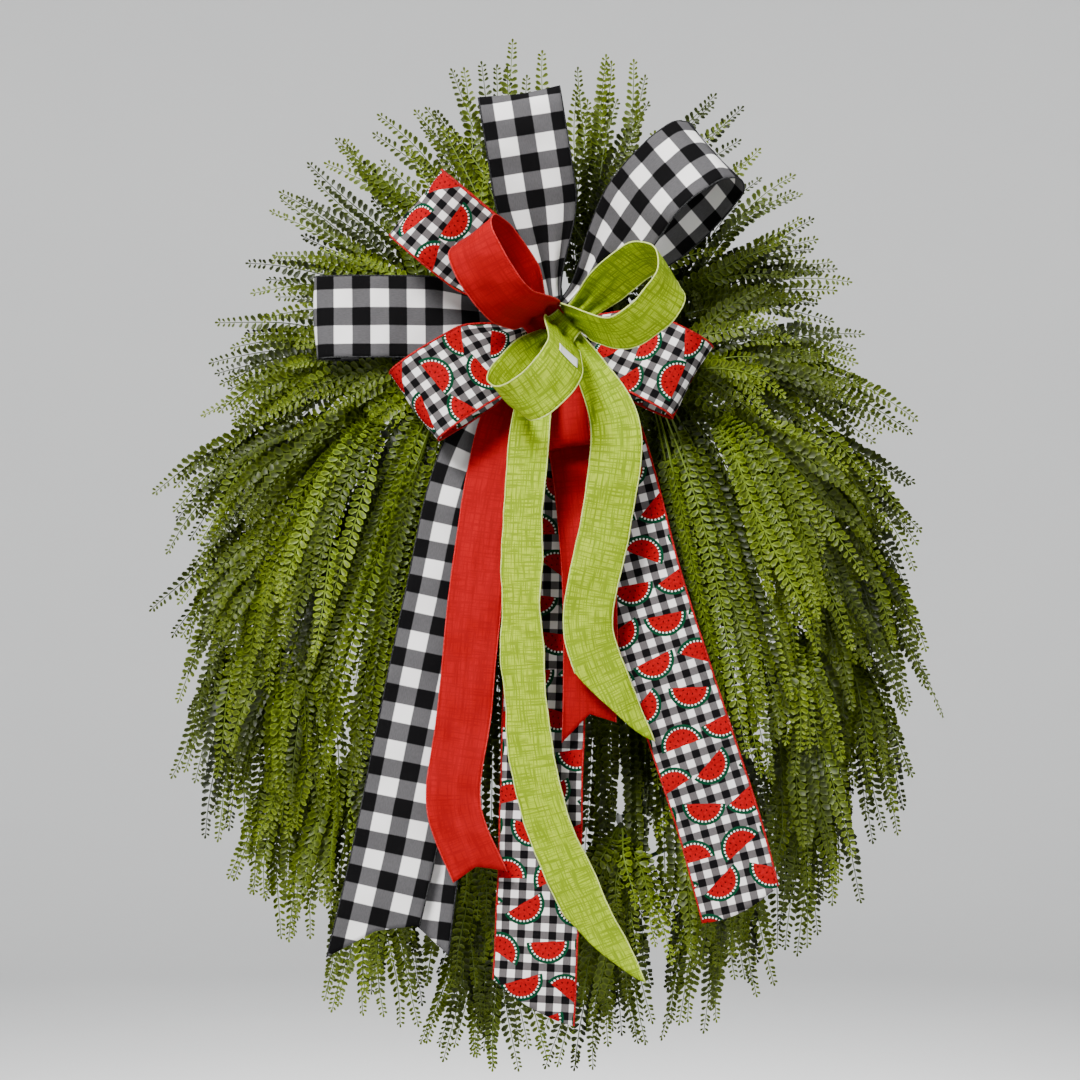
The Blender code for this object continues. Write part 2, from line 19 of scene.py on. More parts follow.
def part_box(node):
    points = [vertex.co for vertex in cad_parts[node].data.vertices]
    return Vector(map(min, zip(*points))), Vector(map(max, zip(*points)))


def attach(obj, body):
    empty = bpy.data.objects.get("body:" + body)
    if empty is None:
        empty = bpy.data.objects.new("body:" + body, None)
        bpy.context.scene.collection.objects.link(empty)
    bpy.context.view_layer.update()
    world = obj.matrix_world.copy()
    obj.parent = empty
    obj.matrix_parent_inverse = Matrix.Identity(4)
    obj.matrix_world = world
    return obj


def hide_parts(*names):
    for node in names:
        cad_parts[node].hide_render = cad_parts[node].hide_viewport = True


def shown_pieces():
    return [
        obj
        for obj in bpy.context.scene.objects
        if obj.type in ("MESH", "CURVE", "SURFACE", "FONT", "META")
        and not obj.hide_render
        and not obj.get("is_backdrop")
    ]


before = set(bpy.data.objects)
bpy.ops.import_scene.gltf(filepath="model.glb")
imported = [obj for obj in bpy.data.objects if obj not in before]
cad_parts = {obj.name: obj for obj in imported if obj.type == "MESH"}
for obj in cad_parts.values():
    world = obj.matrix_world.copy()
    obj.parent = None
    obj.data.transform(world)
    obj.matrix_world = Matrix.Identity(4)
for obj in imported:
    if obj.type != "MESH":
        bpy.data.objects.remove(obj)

MM = 0.001
FRONT = Vector((0, -1, 0))
RING_CENTRE = Vector((0, 0, -254 * MM))
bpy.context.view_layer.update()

# %% [markdown]
# ## Camera
#
# The photograph was taken straight on, from a few steps back, with the lens level with the
# middle of the wreath. A long lens from 2.6 m gives the same flat look. The lens length
# follows from how wide the picture is where the leaves are.

# %% The camera
PICTURE_WIDTH = 0.831
LEAVES_Y = -0.080
eye = bpy.data.cameras.new("portrait_camera")
camera = bpy.data.objects.new("portrait_camera", eye)
camera.location = (-0.006, -2.600, -0.215)
camera.rotation_euler = (math.radians(90), 0, 0)
eye.sensor_width = 36
eye.lens = eye.sensor_width * (LEAVES_Y - camera.location.y) / PICTURE_WIDTH
bpy.context.scene.collection.objects.link(camera)
bpy.context.scene.camera = camera
print("lens in mm:", round(eye.lens, 1))

# %% [markdown]
# ## Writing materials
#
# A material in Blender is a small graph of nodes that ends in the Principled shader. Here a
# little helper writes the graph line by line, so that each finish reads like a recipe. Plain
# numbers go straight onto the shader's own sockets.

# %% A helper that writes a material
class Recipe:
    """Writes the nodes of one material, one call for each node."""

    def __init__(self, name, **plain):
        self.made = bpy.data.materials.new(name)
        self.made.use_nodes = True
        self.tree = self.made.node_tree
        self.shader = self.tree.nodes["Principled BSDF"]
        for socket, value in plain.items():
            self.shader.inputs[socket.replace("_", " ")].default_value = value

    def add(self, kind, inputs, output=0, **settings):
        """Adds a node, feeds its inputs by name or number, and hands back one output."""
        node = self.tree.nodes.new("ShaderNode" + kind)
        for setting, value in settings.items():
            setattr(node, setting, value)
        for socket, value in inputs.items():
            self.feed(node.inputs[socket], value)
        return node.outputs[output]

    def feed(self, socket, value):
        if isinstance(value, bpy.types.NodeSocket):
            self.tree.links.new(value, socket)
        else:
            socket.default_value = value

    def math(self, operation, a, b=0.0, c=0.0):
        return self.add("Math", {0: a, 1: b, 2: c}, operation=operation)

    def ramp(self, value, low, high, to_low=0.0, to_high=1.0):
        """Value carried smoothly from one range to another, and held at its ends."""
        return self.add(
            "MapRange", {0: value, 1: low, 2: high, 3: to_low, 4: to_high},
            interpolation_type="SMOOTHSTEP",
        )

    def blend(self, share, first, second):
        """The first colour, turning into the second as share goes from 0 to 1."""
        return self.add("Mix", {0: share, 6: first, 7: second}, output=2, data_type="RGBA")

    def noise(self, place, scale, detail=2.0):
        return self.add("TexNoise", {"Vector": place, "Scale": scale, "Detail": detail})

    def colour(self, value):
        self.feed(self.shader.inputs["Base Color"], value)

    def roughness(self, value):
        self.feed(self.shader.inputs["Roughness"], value)

    def bump(self, height, distance, strength=1.0):
        normal = self.add("Bump", {"Height": height, "Distance": distance, "Strength": strength})
        self.feed(self.shader.inputs["Normal"], normal)


def rgb(red, green, blue):
    return (red, green, blue, 1.0)


# %% [markdown]
# ## Stage and light
#
# The wreath hangs free in a big pale bowl: a floor that curves up into a wall, so that no
# edge shows behind it from any side. One line of points is spun round to make it. Three
# large soft lights and a pale sky give the even light of a photographer's studio.

# %% The stage
def put(name, bm, finish, smooth=True):
    """Puts a finished bmesh into the scene as a named object."""
    mesh = bpy.data.meshes.new(name)
    bm.to_mesh(mesh)
    bm.free()
    if smooth:
        mesh.shade_smooth()
    mesh.materials.append(finish)
    thing = bpy.data.objects.new(name, mesh)
    bpy.context.scene.collection.objects.link(thing)
    return thing


FLOOR_Z = -1.15
BOWL_RADIUS = 6.5
BOWL_CURVE = 2.0
BOWL_TOP = 3.5
backdrop = Recipe("pale_paper", Roughness=0.95)
paper_grain = backdrop.noise(backdrop.add("TexCoord", {}, output=3), 3.0)
backdrop.colour(backdrop.blend(paper_grain, rgb(0.68, 0.68, 0.68), rgb(0.71, 0.71, 0.70)))

bm = bmesh.new()
profile = [bm.verts.new((0, 0, FLOOR_Z)), bm.verts.new((BOWL_RADIUS - BOWL_CURVE, 0, FLOOR_Z))]
for degrees in range(10, 91, 10):
    turn = math.radians(degrees)
    x = BOWL_RADIUS - BOWL_CURVE * (1 - math.sin(turn))
    profile.append(bm.verts.new((x, 0, FLOOR_Z + BOWL_CURVE * (1 - math.cos(turn)))))
profile.append(bm.verts.new((BOWL_RADIUS, 0, BOWL_TOP)))
lines = [bm.edges.new(pair) for pair in zip(profile, profile[1:])]
bmesh.ops.spin(
    bm, geom=profile + lines, cent=(0, 0, 0), axis=(0, 0, 1), angle=math.tau, steps=72,
    use_merge=True,
)
bmesh.ops.remove_doubles(bm, verts=bm.verts, dist=1e-5)
bmesh.ops.recalc_face_normals(bm, faces=bm.faces)
bmesh.ops.reverse_faces(bm, faces=bm.faces)
put("studio_bowl", bm, backdrop.made)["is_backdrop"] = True

# %% The lights
def softbox(name, place, target, size, watts, colour=(1, 1, 1)):
    """A square light at a place, turned to face a target."""
    light = bpy.data.lights.new(name, "AREA")
    light.shape = "SQUARE"
    light.size = size
    light.energy = watts
    light.color = colour
    lamp = bpy.data.objects.new(name, light)
    lamp.location = place
    lamp.rotation_euler = (Vector(target) - Vector(place)).to_track_quat("-Z", "Y").to_euler()
    bpy.context.scene.collection.objects.link(lamp)


WREATH_MIDDLE = (0, -0.08, -0.22)
softbox("key_light", (-1.1, -2.3, 1.7), WREATH_MIDDLE, 0.9, 205)
softbox("fill_light", (2.2, -2.4, 0.3), WREATH_MIDDLE, 1.8, 18)
softbox("top_light", (0.3, -0.3, 2.4), WREATH_MIDDLE, 1.2, 40)
softbox("wall_light", (0.0, 1.6, -0.3), (0, 6, 0.3), 1.6, 120)
softbox("back_light", (0.8, 3.0, 1.6), WREATH_MIDDLE, 1.4, 30)

sky = bpy.data.worlds.new("pale_sky")
sky.use_nodes = True
sky.node_tree.nodes["Background"].inputs["Color"].default_value = rgb(0.9, 0.95, 1.0)
sky.node_tree.nodes["Background"].inputs["Strength"].default_value = 0.38
bpy.context.scene.world = sky

# %% [markdown]
# ## Bending a straight piece onto a line
#
# Leafy stems, wires, hems and ribbons are all long things that follow a line through space.
# Each is made straight, in three numbers: how far along, how far across and how far out.
# A path then carries those numbers to where they belong. It does what the Curve modifier
# does, but every point can be checked and moved again afterwards.

# %% A path
def smooth(x):
    """0 to 1, with level ends; works on one number or on many."""
    x = np.clip(x, 0.0, 1.0)
    return x * x * (3 - 2 * x)


def unit(rows):
    return rows / np.linalg.norm(rows, axis=1, keepdims=True)


class Path:
    """A line through points, with a direction across and a direction out at each of them."""

    def __init__(self, points, across=None):
        self.points = np.array([tuple(p) for p in points], float)
        steps = np.linalg.norm(np.diff(self.points, axis=0), axis=1)
        self.marks = np.concatenate([[0.0], np.cumsum(steps)])
        self.length = float(self.marks[-1])
        along = unit(np.gradient(self.points, axis=0))
        if across is None:
            across = self.carried_round(along)
        across = np.array([tuple(a) for a in across], float)
        across = across - along * np.sum(across * along, axis=1, keepdims=True)
        self.across = unit(across)
        self.out = np.cross(along, self.across)

    def carried_round(self, along):
        """Across directions that turn as little as they can from point to point."""
        first = Vector(along[0]).orthogonal().normalized()
        found = [first]
        for direction in along[1:]:
            direction = Vector(direction)
            first = (first - direction * first.dot(direction)).normalized()
            found.append(first)
        return found

    def carry(self, spots):
        """Rows of distances along, across and out, as points in space."""
        spots = np.asarray(spots, float)

        def at(rows):
            return np.column_stack([np.interp(spots[:, 0], self.marks, rows[:, k]) for k in range(3)])

        return at(self.points) + at(self.across) * spots[:, 1:2] + at(self.out) * spots[:, 2:3]


def coordinates(mesh):
    rows = np.empty(len(mesh.vertices) * 3, np.float32)
    mesh.vertices.foreach_get("co", rows)
    return rows.reshape(-1, 3).astype(float)


def append_shape(bm, template, rows):
    """Adds a copy of a mesh to a bmesh, with its points moved to these rows."""
    copy = template.copy()
    copy.vertices.foreach_set("co", rows.astype(np.float32).ravel())
    bm.from_mesh(copy)
    bpy.data.meshes.remove(copy)


# %% [markdown]
# ## A straight rod
#
# Wires, stems and hems are all the same rod, bent and scaled. A cone primitive makes it: it
# is closed, its two ends may differ in thickness, and its long edges are cut so it can bend.

# %% Rods
MARK = "leaf_mark"


def rod(sides, cuts, tip=1.0):
    """A rod along X from 0 to 1, one unit in radius at its start and tip at its end."""
    bm = bmesh.new()
    bmesh.ops.create_cone(bm, cap_ends=True, segments=sides, radius1=1, radius2=tip, depth=1)
    long_edges = [e for e in bm.edges if abs(e.verts[0].co.z - e.verts[1].co.z) > 0.5]
    bmesh.ops.subdivide_edges(bm, edges=long_edges, cuts=cuts, use_grid_fill=True)
    bmesh.ops.translate(bm, verts=bm.verts, vec=(0, 0, 0.5))
    bmesh.ops.rotate(bm, verts=bm.verts, cent=(0, 0, 0), matrix=Matrix.Rotation(math.radians(90), 3, "Y"))
    marks = bm.verts.layers.float_color.new(MARK)
    for vert in bm.verts:
        vert[marks] = (0.6, 0.0, 0.5, 1.0)
    mesh = bpy.data.meshes.new("rod")
    bm.to_mesh(mesh)
    bm.free()
    return mesh


def add_rod(bm, shape, path, radius):
    """Adds a rod of this radius that follows the whole of a path."""
    rows = coordinates(shape)
    append_shape(bm, shape, path.carry(rows * (path.length, radius, radius)))


WIRE_SHAPE = rod(10, 40)
print("rod:", len(WIRE_SHAPE.vertices), "points")

# %% [markdown]
# ## The wire frame
#
# The frame is two rings of dark green coated wire, welded to short cross wires. A ring is a
# small circle spun round the frame's middle. A bead of weld sits where each wire meets.

# %% The rings and cross wires
WIRE_R = 1.75 * MM
OUTER_RING_R = 227 * MM
INNER_RING_R = 190 * MM
CROSS_WIRES = 6


def polar(degrees, radius):
    """A point in the frame's plane, at an angle from +X and a distance from its middle."""
    turn = math.radians(degrees)
    return RING_CENTRE + Vector((math.cos(turn), 0, math.sin(turn))) * radius


def heading(degrees):
    turn = math.radians(degrees)
    return Vector((math.cos(turn), 0, math.sin(turn)))


def add_ring(bm, radius):
    circle = bmesh.ops.create_circle(bm, segments=12, radius=WIRE_R)["verts"]
    edges = list({e for v in circle for e in v.link_edges})
    bmesh.ops.translate(bm, verts=circle, vec=(radius, 0, 0))
    made = bmesh.ops.spin(
        bm, geom=circle + edges, cent=(0, 0, 0), axis=(0, 1, 0), angle=math.tau, steps=120,
        use_merge=True,
    )
    del made


coated = Recipe("green_coated_wire", Metallic=0.35, Roughness=0.42)
wire_place = coated.add("TexCoord", {}, output=3)
wire_wear = coated.ramp(coated.noise(wire_place, 60.0, 4.0), 0.55, 0.75)
coated.colour(coated.blend(wire_wear, rgb(0.012, 0.045, 0.018), rgb(0.06, 0.075, 0.05)))
coated.bump(coated.noise(wire_place, 900.0), 0.0001)

bm = bmesh.new()
for radius in (OUTER_RING_R, INNER_RING_R):
    add_ring(bm, radius)
bmesh.ops.remove_doubles(bm, verts=bm.verts, dist=1e-6)
bmesh.ops.translate(bm, verts=bm.verts, vec=RING_CENTRE)
for k in range(CROSS_WIRES):
    angle = 360 * (k + 0.4) / CROSS_WIRES
    ends = [polar(angle, radius) for radius in np.linspace(INNER_RING_R, OUTER_RING_R, 5)]
    add_rod(bm, rod(8, 3), Path(ends), 1.3 * MM)
    for radius in (OUTER_RING_R, INNER_RING_R):
        bead = Matrix.Translation(polar(angle, radius)) @ Matrix.Scale(1.15, 4, (0, 1, 0))
        bmesh.ops.create_icosphere(bm, subdivisions=2, radius=2.2 * MM, matrix=bead)
bmesh.ops.recalc_face_normals(bm, faces=bm.faces)
wire_frame = put("frame_rings", bm, coated.made)
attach(wire_frame, "root")
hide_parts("wire_frame")
print("frame:", len(wire_frame.data.polygons), "faces")

# %% [markdown]
# ## The hanging loop
#
# A thinner wire is wound twice round the top of the outer ring and stands up in a loop for
# the door hook. Its middle line is written down as points, and the rod follows them.

# %% The hanging loop
LOOP_WIRE_R = 1.2 * MM
LOOP_HALF_WIDTH = 11 * MM
CLEAR = 0.35 * MM


def loop_line():
    """Half of the loop's line, wound on at the ring and rising to the hook, then mirrored."""
    wind = WIRE_R + CLEAR + LOOP_WIRE_R
    half = []
    for step in range(25):
        turn = math.radians(-90 - 15 * step)
        x = -LOOP_HALF_WIDTH - (24 - step) * 0.19 * MM
        ring_z = RING_CENTRE.z + math.sqrt(OUTER_RING_R**2 - x**2)
        half.append(Vector((x, wind * math.sin(turn), ring_z - wind * math.cos(turn))))
    foot = half[-1].z + wind
    for step in range(1, 17):
        turn = math.radians(180 - 90 * step / 16)
        rise = (LOOP_WIRE_R - foot) * math.sin(turn)
        half.append(Vector((LOOP_HALF_WIDTH * math.cos(turn), 0, foot + rise)))
    return half + [Vector((-p.x, p.y, p.z)) for p in reversed(half[:-1])]


bm = bmesh.new()
add_rod(bm, rod(10, 100), Path(loop_line()), LOOP_WIRE_R)
bmesh.ops.recalc_face_normals(bm, faces=bm.faces)
hanger = put("hanger_wire", bm, coated.made)
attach(hanger, "root")
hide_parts("hanging_loop")
print("hanger line in mm:", round(Path(loop_line()).length / MM))

# %% [markdown]
# ## One leaflet
#
# A fern leaflet is a small spoon: round at its end, narrow at its foot and hollow in the middle. A cone of seven sides
# is the start, because it is closed and has a point on each face. The rim is drawn out to a spoon and both middle
# points are pushed back. A colour mark on each point says rim or middle, so the material can paint a highlight on the
# rim, where the cupped leaflet would catch the light.

# %% The leaflet
def leaflet(sides, breadth):
    """A spoon-shaped leaflet one unit long, from its foot at 0 to its end at X = 1."""
    bm = bmesh.new()
    bmesh.ops.create_cone(
        bm, cap_ends=True, cap_tris=True, segments=sides, radius1=0.5, radius2=0, depth=0.2
    )
    marks = bm.verts.layers.float_color.new(MARK)
    for vert in bm.verts:
        x, y, z = vert.co
        middle = math.hypot(x, y) < 0.1
        onward = 0.5 - x
        if middle:
            vert.co = (0.60, 0, -0.13 if z > 0 else -0.19)
        else:
            vert.co = (onward, -y * breadth * (0.34 + 0.40 * onward), 0)
        # The first mark is the rim highlight: 1 on the rim, where painted light is laid, and 0 in the middle.
        vert[marks] = (0.0 if middle else 1.0, 0.0, 0.5, 0.0)
    mesh = bpy.data.meshes.new("leaflet")
    bm.to_mesh(mesh)
    bm.free()
    return mesh


LEAFLET = leaflet(7, 1.0)
BROAD_LEAFLET = leaflet(5, 1.35)
print("leaflets:", len(LEAFLET.polygons), "and", len(BROAD_LEAFLET.polygons), "faces")

# %% [markdown]
# ## A straight leafy stem
#
# The leaflets stand in pairs and lean towards the tip of the stem. They get smaller over the
# last few centimetres and end in one that points straight on. Several stems of different
# lengths are made straight, once, and used again for every frond, so no leaf is made twice.

# %% Leafy stems
PITCH = 5.7 * MM
LEAF_LENGTH = 7.9 * MM
LEAN = 61
RAISE = 16
# How far back from the tip the paler colour reaches: the fresh growth's own colour and painted light on the tips.
FRESH_TIP_AND_LIGHT_REACH = 42 * MM


def leafy(pairs, seed, leaf, length):
    """A straight frond whose tip is at X = 0, as leaflets without their stem."""
    chance = random.Random(seed)
    bm = bmesh.new()
    marks = bm.verts.layers.float_color.new(MARK)

    def stand(back, side, turn, size):
        bm.from_mesh(leaf)
        bm.verts.ensure_lookup_table()
        verts = bm.verts[-len(leaf.vertices):]
        place = Matrix.Translation((-back, side * 0.5 * MM, 0.2 * MM))
        place @= Matrix.Rotation(math.radians(turn), 4, "Z")
        place @= Matrix.Rotation(math.radians(-RAISE + chance.uniform(-9, 9)), 4, "Y")
        place @= Matrix.Rotation(math.radians(chance.uniform(-14, 14)), 4, "X")
        bmesh.ops.transform(bm, matrix=place @ Matrix.Scale(size, 4), verts=verts)
        for vert in verts:
            # The second mark fades from the tip back: fresh growth and painted light at the tip, painted shade towards
            # the root.
            rim_highlight, _, tone_and_shade, stem = vert[marks]
            vert[marks] = (rim_highlight, math.exp(-back / FRESH_TIP_AND_LIGHT_REACH), tone_and_shade, stem)

    stand(3.4 * MM, 0, 0, 3.6 * MM)
    for k in range(pairs):
        back = (4.6 + 3.9 * min(k, 3)) * MM + PITCH * max(0, k - 3)
        size = length * (0.42 + 0.58 * float(smooth(back / (52 * MM))))
        for side in (1, -1):
            turn = side * (LEAN + chance.uniform(-8, 8))
            stand(back + chance.uniform(-0.6, 0.6) * MM, side, turn, size * chance.uniform(0.9, 1.08))
    mesh = bpy.data.meshes.new("leafy_stem")
    bm.to_mesh(mesh)
    bm.free()
    return mesh


FROND_PAIRS = (12, 16, 20, 24, 28, 33, 40)
FRONDS = {pairs: [leafy(pairs, 10 * pairs + k, LEAFLET, LEAF_LENGTH) for k in range(3)] for pairs in FROND_PAIRS}
DEEP_FRONDS = {pairs: [leafy(pairs, pairs, BROAD_LEAFLET, 1.1 * LEAF_LENGTH)] for pairs in FROND_PAIRS}
STEM_SHAPE = rod(3, 11, tip=0.4)
print("longest frond:", len(FRONDS[FROND_PAIRS[-1]][0].polygons), "faces")

# %% [markdown]
# ## Where the fronds go
#
# Each solid bunch has three or four leafy stems, one above the other. The same plan is
# written out here, with the same drawn numbers, and each of those stems becomes a fan of
# fronds that stays inside the shape of its solid. The fronds leave the frame at the bunch's
# wired stalk, rise to a crest and fall away at their tips.

# %% The plan of the bunches
SIDE_REACH = 300 * MM
TOP_EXTRA = 148 * MM
BOTTOM_EXTRA = 94 * MM


def outline_reach(degrees):
    """How far the leaf tips reach from the middle of the frame in this direction."""
    rise = math.sin(math.radians(degrees))
    return SIDE_REACH + TOP_EXTRA * max(0.0, rise) ** 3 + BOTTOM_EXTRA * min(0.0, rise) ** 2


class Layer:
    """A shell of leafy stems: how far they reach, how far they stand off the door, and the painted shade of its leaves.
    """

    def __init__(self, reach, root_y, crest_y, tip_y, half_width, bare, rise, fronds, shade):
        self.reach = reach
        self.root_y, self.crest_y, self.tip_y = root_y * MM, crest_y * MM, tip_y * MM
        self.half_width = half_width * MM
        self.bare, self.rise = bare, rise
        self.fronds, self.shade = fronds, shade


# The last number of each layer is its painted shade: layers nearer the door get darker leaf colour, standing for the
# shade deep in the foliage.
OUTER_LAYERS = (
    Layer(1.00, -9, -24, -14, 27, 0.12, 0.4, 8, 0.50),
    Layer(0.96, -16, -34, -26, 27, 0.12, 0.4, 8, 0.55),
    Layer(0.88, -23, -44, -38, 28, 0.08, 0.4, 7, 0.70),
    Layer(0.79, -30, -54, -50, 28, 0.05, 0.4, 7, 0.85),
)
INNER_LAYERS = (
    Layer(0.86, -43, -66, -62, 30, 0.10, 0.4, 8, 0.49),
    Layer(0.76, -51, -76, -72, 31, 0.05, 0.4, 8, 0.85),
    Layer(0.66, -59, -86, -82, 31, 0.03, 0.4, 8, 1.00),
)
CURTAIN_LAYERS = (
    Layer(1.00, -57, -90, -91, 25, 0.06, 0.22, 8, 0.49),
    Layer(1.00, -63, -98, -98, 25, 0.05, 0.22, 8, 0.85),
    Layer(1.00, -69, -106, -104, 25, 0.03, 0.22, 7, 0.99),
)


class Stem:
    """The middle line of one leafy stem, from its bunch's stalk to its tip."""

    def __init__(self, layer, root, tip, bow_room=0.0, forward=0.0):
        scatter = Vector((random.uniform(-1, 1), random.uniform(-1, 1), random.uniform(-1, 1)))
        root = root + scatter * 0.8 * MM
        self.layer, self.root, self.bow_room = layer, root, bow_room
        self.fan = 1.15 + 0.55 * float(smooth((tip.z - root.z) / (0.15)))
        self.root_shift = scatter.y * 0.8 * MM - forward
        chord = tip - root
        angle = math.degrees(math.atan2(chord.z, chord.x))
        lean = math.cos(math.radians(angle))
        turn = math.copysign(20 * abs(lean), lean)
        third = chord.length / 3
        self.handles = (root, root + heading(angle + turn) * third, tip - heading(angle - turn) * third, tip)
        random.uniform(-5, 5)

    def point(self, t):
        a, b, c, d = self.handles
        s = 1 - t
        flat = a * s**3 + b * (3 * s * s * t) + c * (3 * s * t * t) + d * t**3
        layer = self.layer
        rise = float(smooth(t / layer.rise))
        fall = float(smooth((t - layer.rise) / (1 - layer.rise)))
        y = layer.root_y + (layer.crest_y - layer.root_y) * rise + (layer.tip_y - layer.crest_y) * fall
        room = self.bow_room * (1 - float(smooth((t - 0.45) / 0.25)))
        return Vector((flat.x, y * (1 - room) + self.root_shift, flat.z))


def fanned(root, around, layer):
    """A stem whose tip lies on the foliage's outline, drawn in to its layer's reach."""
    tip_angle = 90 + around + 15 * math.sin(math.radians(around)) + random.uniform(-1.5, 1.5)
    reach = layer.reach * random.uniform(0.965, 1.0)
    return Stem(layer, root, polar(tip_angle, outline_reach(tip_angle) * reach))


CURTAINS = (
    (131, 6, 0.0, ((-226, 30), (-214, -8), (-200, -42))),
    (112, 0, 0.0, ((-190, -84), (-172, -118), (-156, -152))),
    (105, 0, 0.1, ((-142, -188), (-120, -208), (-98, -226))),
    (49, 6, 0.0, ((226, 30), (214, -8), (200, -42))),
    (67, 0, 0.0, ((190, -84), (172, -118), (156, -152))),
    (75, 0, 0.1, ((142, -188), (126, -208), (112, -226))),
)


# The veil, the cover and the fronds behind carry painted shade as well; the fronds behind are painted darkest.
VEIL = Layer(1.00, -48, -60, -64, 18, 0.05, 0.3, 2, 0.45)
COVER = Layer(1.00, -60, -80, -86, 20, 0.03, 0.3, 3, 0.90)
BEHIND = Layer(1.00, -38, -46, -50, 20, 0.03, 0.3, 3, 0.28)
EXTRA_TIPS = (
    ("fern_curtain_3", VEIL, (
        (-74, -290), (-52, -400), (-26, -330), (-84, -450), (-34, -480), (-60, -520),
        (-12, -440), (-20, -520), (-44, -330), (-66, -420), (-36, -430))),
    ("fern_curtain_6", VEIL, (
        (62, -280), (28, -370), (74, -390), (100, -460), (56, -470), (18, -505), (40, -330),
        (34, -500), (52, -530), (76, -500), (92, -520), (60, -420), (44, -450), (84, -440),
        (106, -500), (98, -540), (114, -540), (110, -470), (90, -560))),
    ("fern_curtain_6", COVER, ((104, -224), (118, -262), (92, -200))),
    ("fern_curtain_6", BEHIND, ((32, 26), (22, 44), (62, 8), (50, -14))),
    ("fern_curtain_3", BEHIND, ((-24, 26), (-14, 44))),
    ("fern_curtain_2", COVER, ((-165, -150), (-150, -178), (-182, -126))),
    ("fern_curtain_5", COVER, ((165, -150), (150, -178), (182, -126), (128, -196))),
    ("fern_curtain_1", BEHIND, ((-60, 10), (-90, 0), (-40, -20), (-70, -60))),
    ("fern_curtain_4", BEHIND, ((60, 10), (95, 0), (40, -20), (70, -60), (20, -40), (34, -8))),
)


def fern_plan():
    """Each bunch's node name, ring radius, place on the ring, stalk height and stems."""
    random.seed(7)
    plans = []
    for k in range(18):
        around = 20 * (k + 0.5) - 180
        crown = 90 + around - 14 * math.sin(math.radians(around))
        root = polar(crown, OUTER_RING_R)
        shifts = zip(OUTER_LAYERS, (-5, 5, 0.4, -9))
        stems = [fanned(root, around + shift, layer) for layer, shift in shifts]
        plans.append((f"fern_outer_{k + 1:02d}", OUTER_RING_R, crown, -33 * MM, stems))
    step = (360 - 2 * 42) / 11
    for k in range(12):
        around = 42 + step * k
        crown = 90 + around - 22 * math.sin(math.radians(around))
        root = polar(crown, INNER_RING_R)
        shifts = zip(INNER_LAYERS, (-0.25, 0.25, 0.0))
        stems = [fanned(root, around + step * shift, layer) for layer, shift in shifts]
        plans.append((f"fern_inner_{k + 1:02d}", INNER_RING_R, crown, -62 * MM, stems))
    for k, (crown, forward, room, tips) in enumerate(CURTAINS):
        root = polar(crown, INNER_RING_R)
        stems = []
        for (x, z), layer in zip(tips, CURTAIN_LAYERS):
            tip = RING_CENTRE + Vector((x * MM, 0, z * MM))
            stems.append(Stem(layer, root, tip, room, forward * MM))
        plans.append((f"fern_curtain_{k + 1}", INNER_RING_R, crown, -(72 + forward) * MM, stems))
    stems_of = {name: stems for name, _, _, _, stems in plans}
    for name, layer, tips in EXTRA_TIPS:
        stems = stems_of[name]
        stems += [Stem(layer, stems[0].root, Vector((x * MM, 0, z * MM))) for x, z in tips]
    return plans


BUNCHES = fern_plan()
print("bunches:", len(BUNCHES), "fronds:", sum(s.layer.fronds for b in BUNCHES for s in b[4]))

# %% [markdown]
# ## The fern's material
#
# The leaves are moulded plastic with a pale stem and a soft gloss. Their colour holds painted light and shade: paler
# yellow-green at the tips, partly fresh growth and partly painted light, painted shade that darkens them towards the
# frame and in the deeper layers, and a painted highlight on the rim. The colour marks that each point carries are rim
# highlight, fresh tip and light, the tone and painted shade of its frond, and stem.

# %% Fern plastic
fern = Recipe("fern_plastic", Roughness=0.46, Specular_IOR_Level=0.22)
fern_marks = fern.add("Attribute", {}, output=0, attribute_name=MARK)
fern_stem = fern.add("Attribute", {}, output=3, attribute_name=MARK)
parts = fern.tree.nodes.new("ShaderNodeSeparateColor")
fern.feed(parts.inputs[0], fern_marks)
rim_highlight, fresh_tip_and_light, tone_and_shade = parts.outputs[0], parts.outputs[1], parts.outputs[2]
patches = fern.ramp(fern.noise(fern.add("TexCoord", {}, output=3), 45.0), 0.35, 0.65)
# The body runs from near black, which is painted shade, at tone 0 to its full green.
body = fern.blend(tone_and_shade, rgb(0.0006, 0.0013, 0.0), rgb(0.036, 0.060, 0.0002))
body = fern.blend(fern.math("MULTIPLY", patches, fern.math("MULTIPLY", tone_and_shade, 0.45)), body, rgb(0.046, 0.056, 0.0003))
# Towards the tips the leaves turn paler yellow-green: the fresh growth's own colour and painted light.
body = fern.blend(fern.math("MULTIPLY", fresh_tip_and_light, fern.math("MULTIPLY_ADD", tone_and_shade, 0.65, 0.05)), body, rgb(0.150, 0.190, 0.002))
# A thin paler rim is a painted highlight on the edge of each cupped leaflet.
thin_rim_highlight = fern.math("MULTIPLY", fern.math("POWER", rim_highlight, 3.0), fern.math("MULTIPLY_ADD", tone_and_shade, 0.60, 0.04))
body = fern.blend(thin_rim_highlight, body, rgb(0.26, 0.37, 0.010))
body = fern.blend(fern.math("MULTIPLY", fern_stem, fern.math("MULTIPLY_ADD", tone_and_shade, 0.7, 0.05)), body, rgb(0.16, 0.23, 0.025))
fern.colour(body)

# %% [markdown]
# ## Growing the bunches
#
# For each frond of a fan a path is drawn beside its stem's middle line. It swings a little,
# its tip stops short by a drawn share, and it turns on its own axis so that some fronds show
# their edge. A leafy stem of the nearest length is then bent onto the path.

# %% Fans of fronds
FROND_STEPS = 16
FILLERS = 3
SWING = 5.0 * MM
SAG = 8.0 * MM
STEM_R = 0.85 * MM


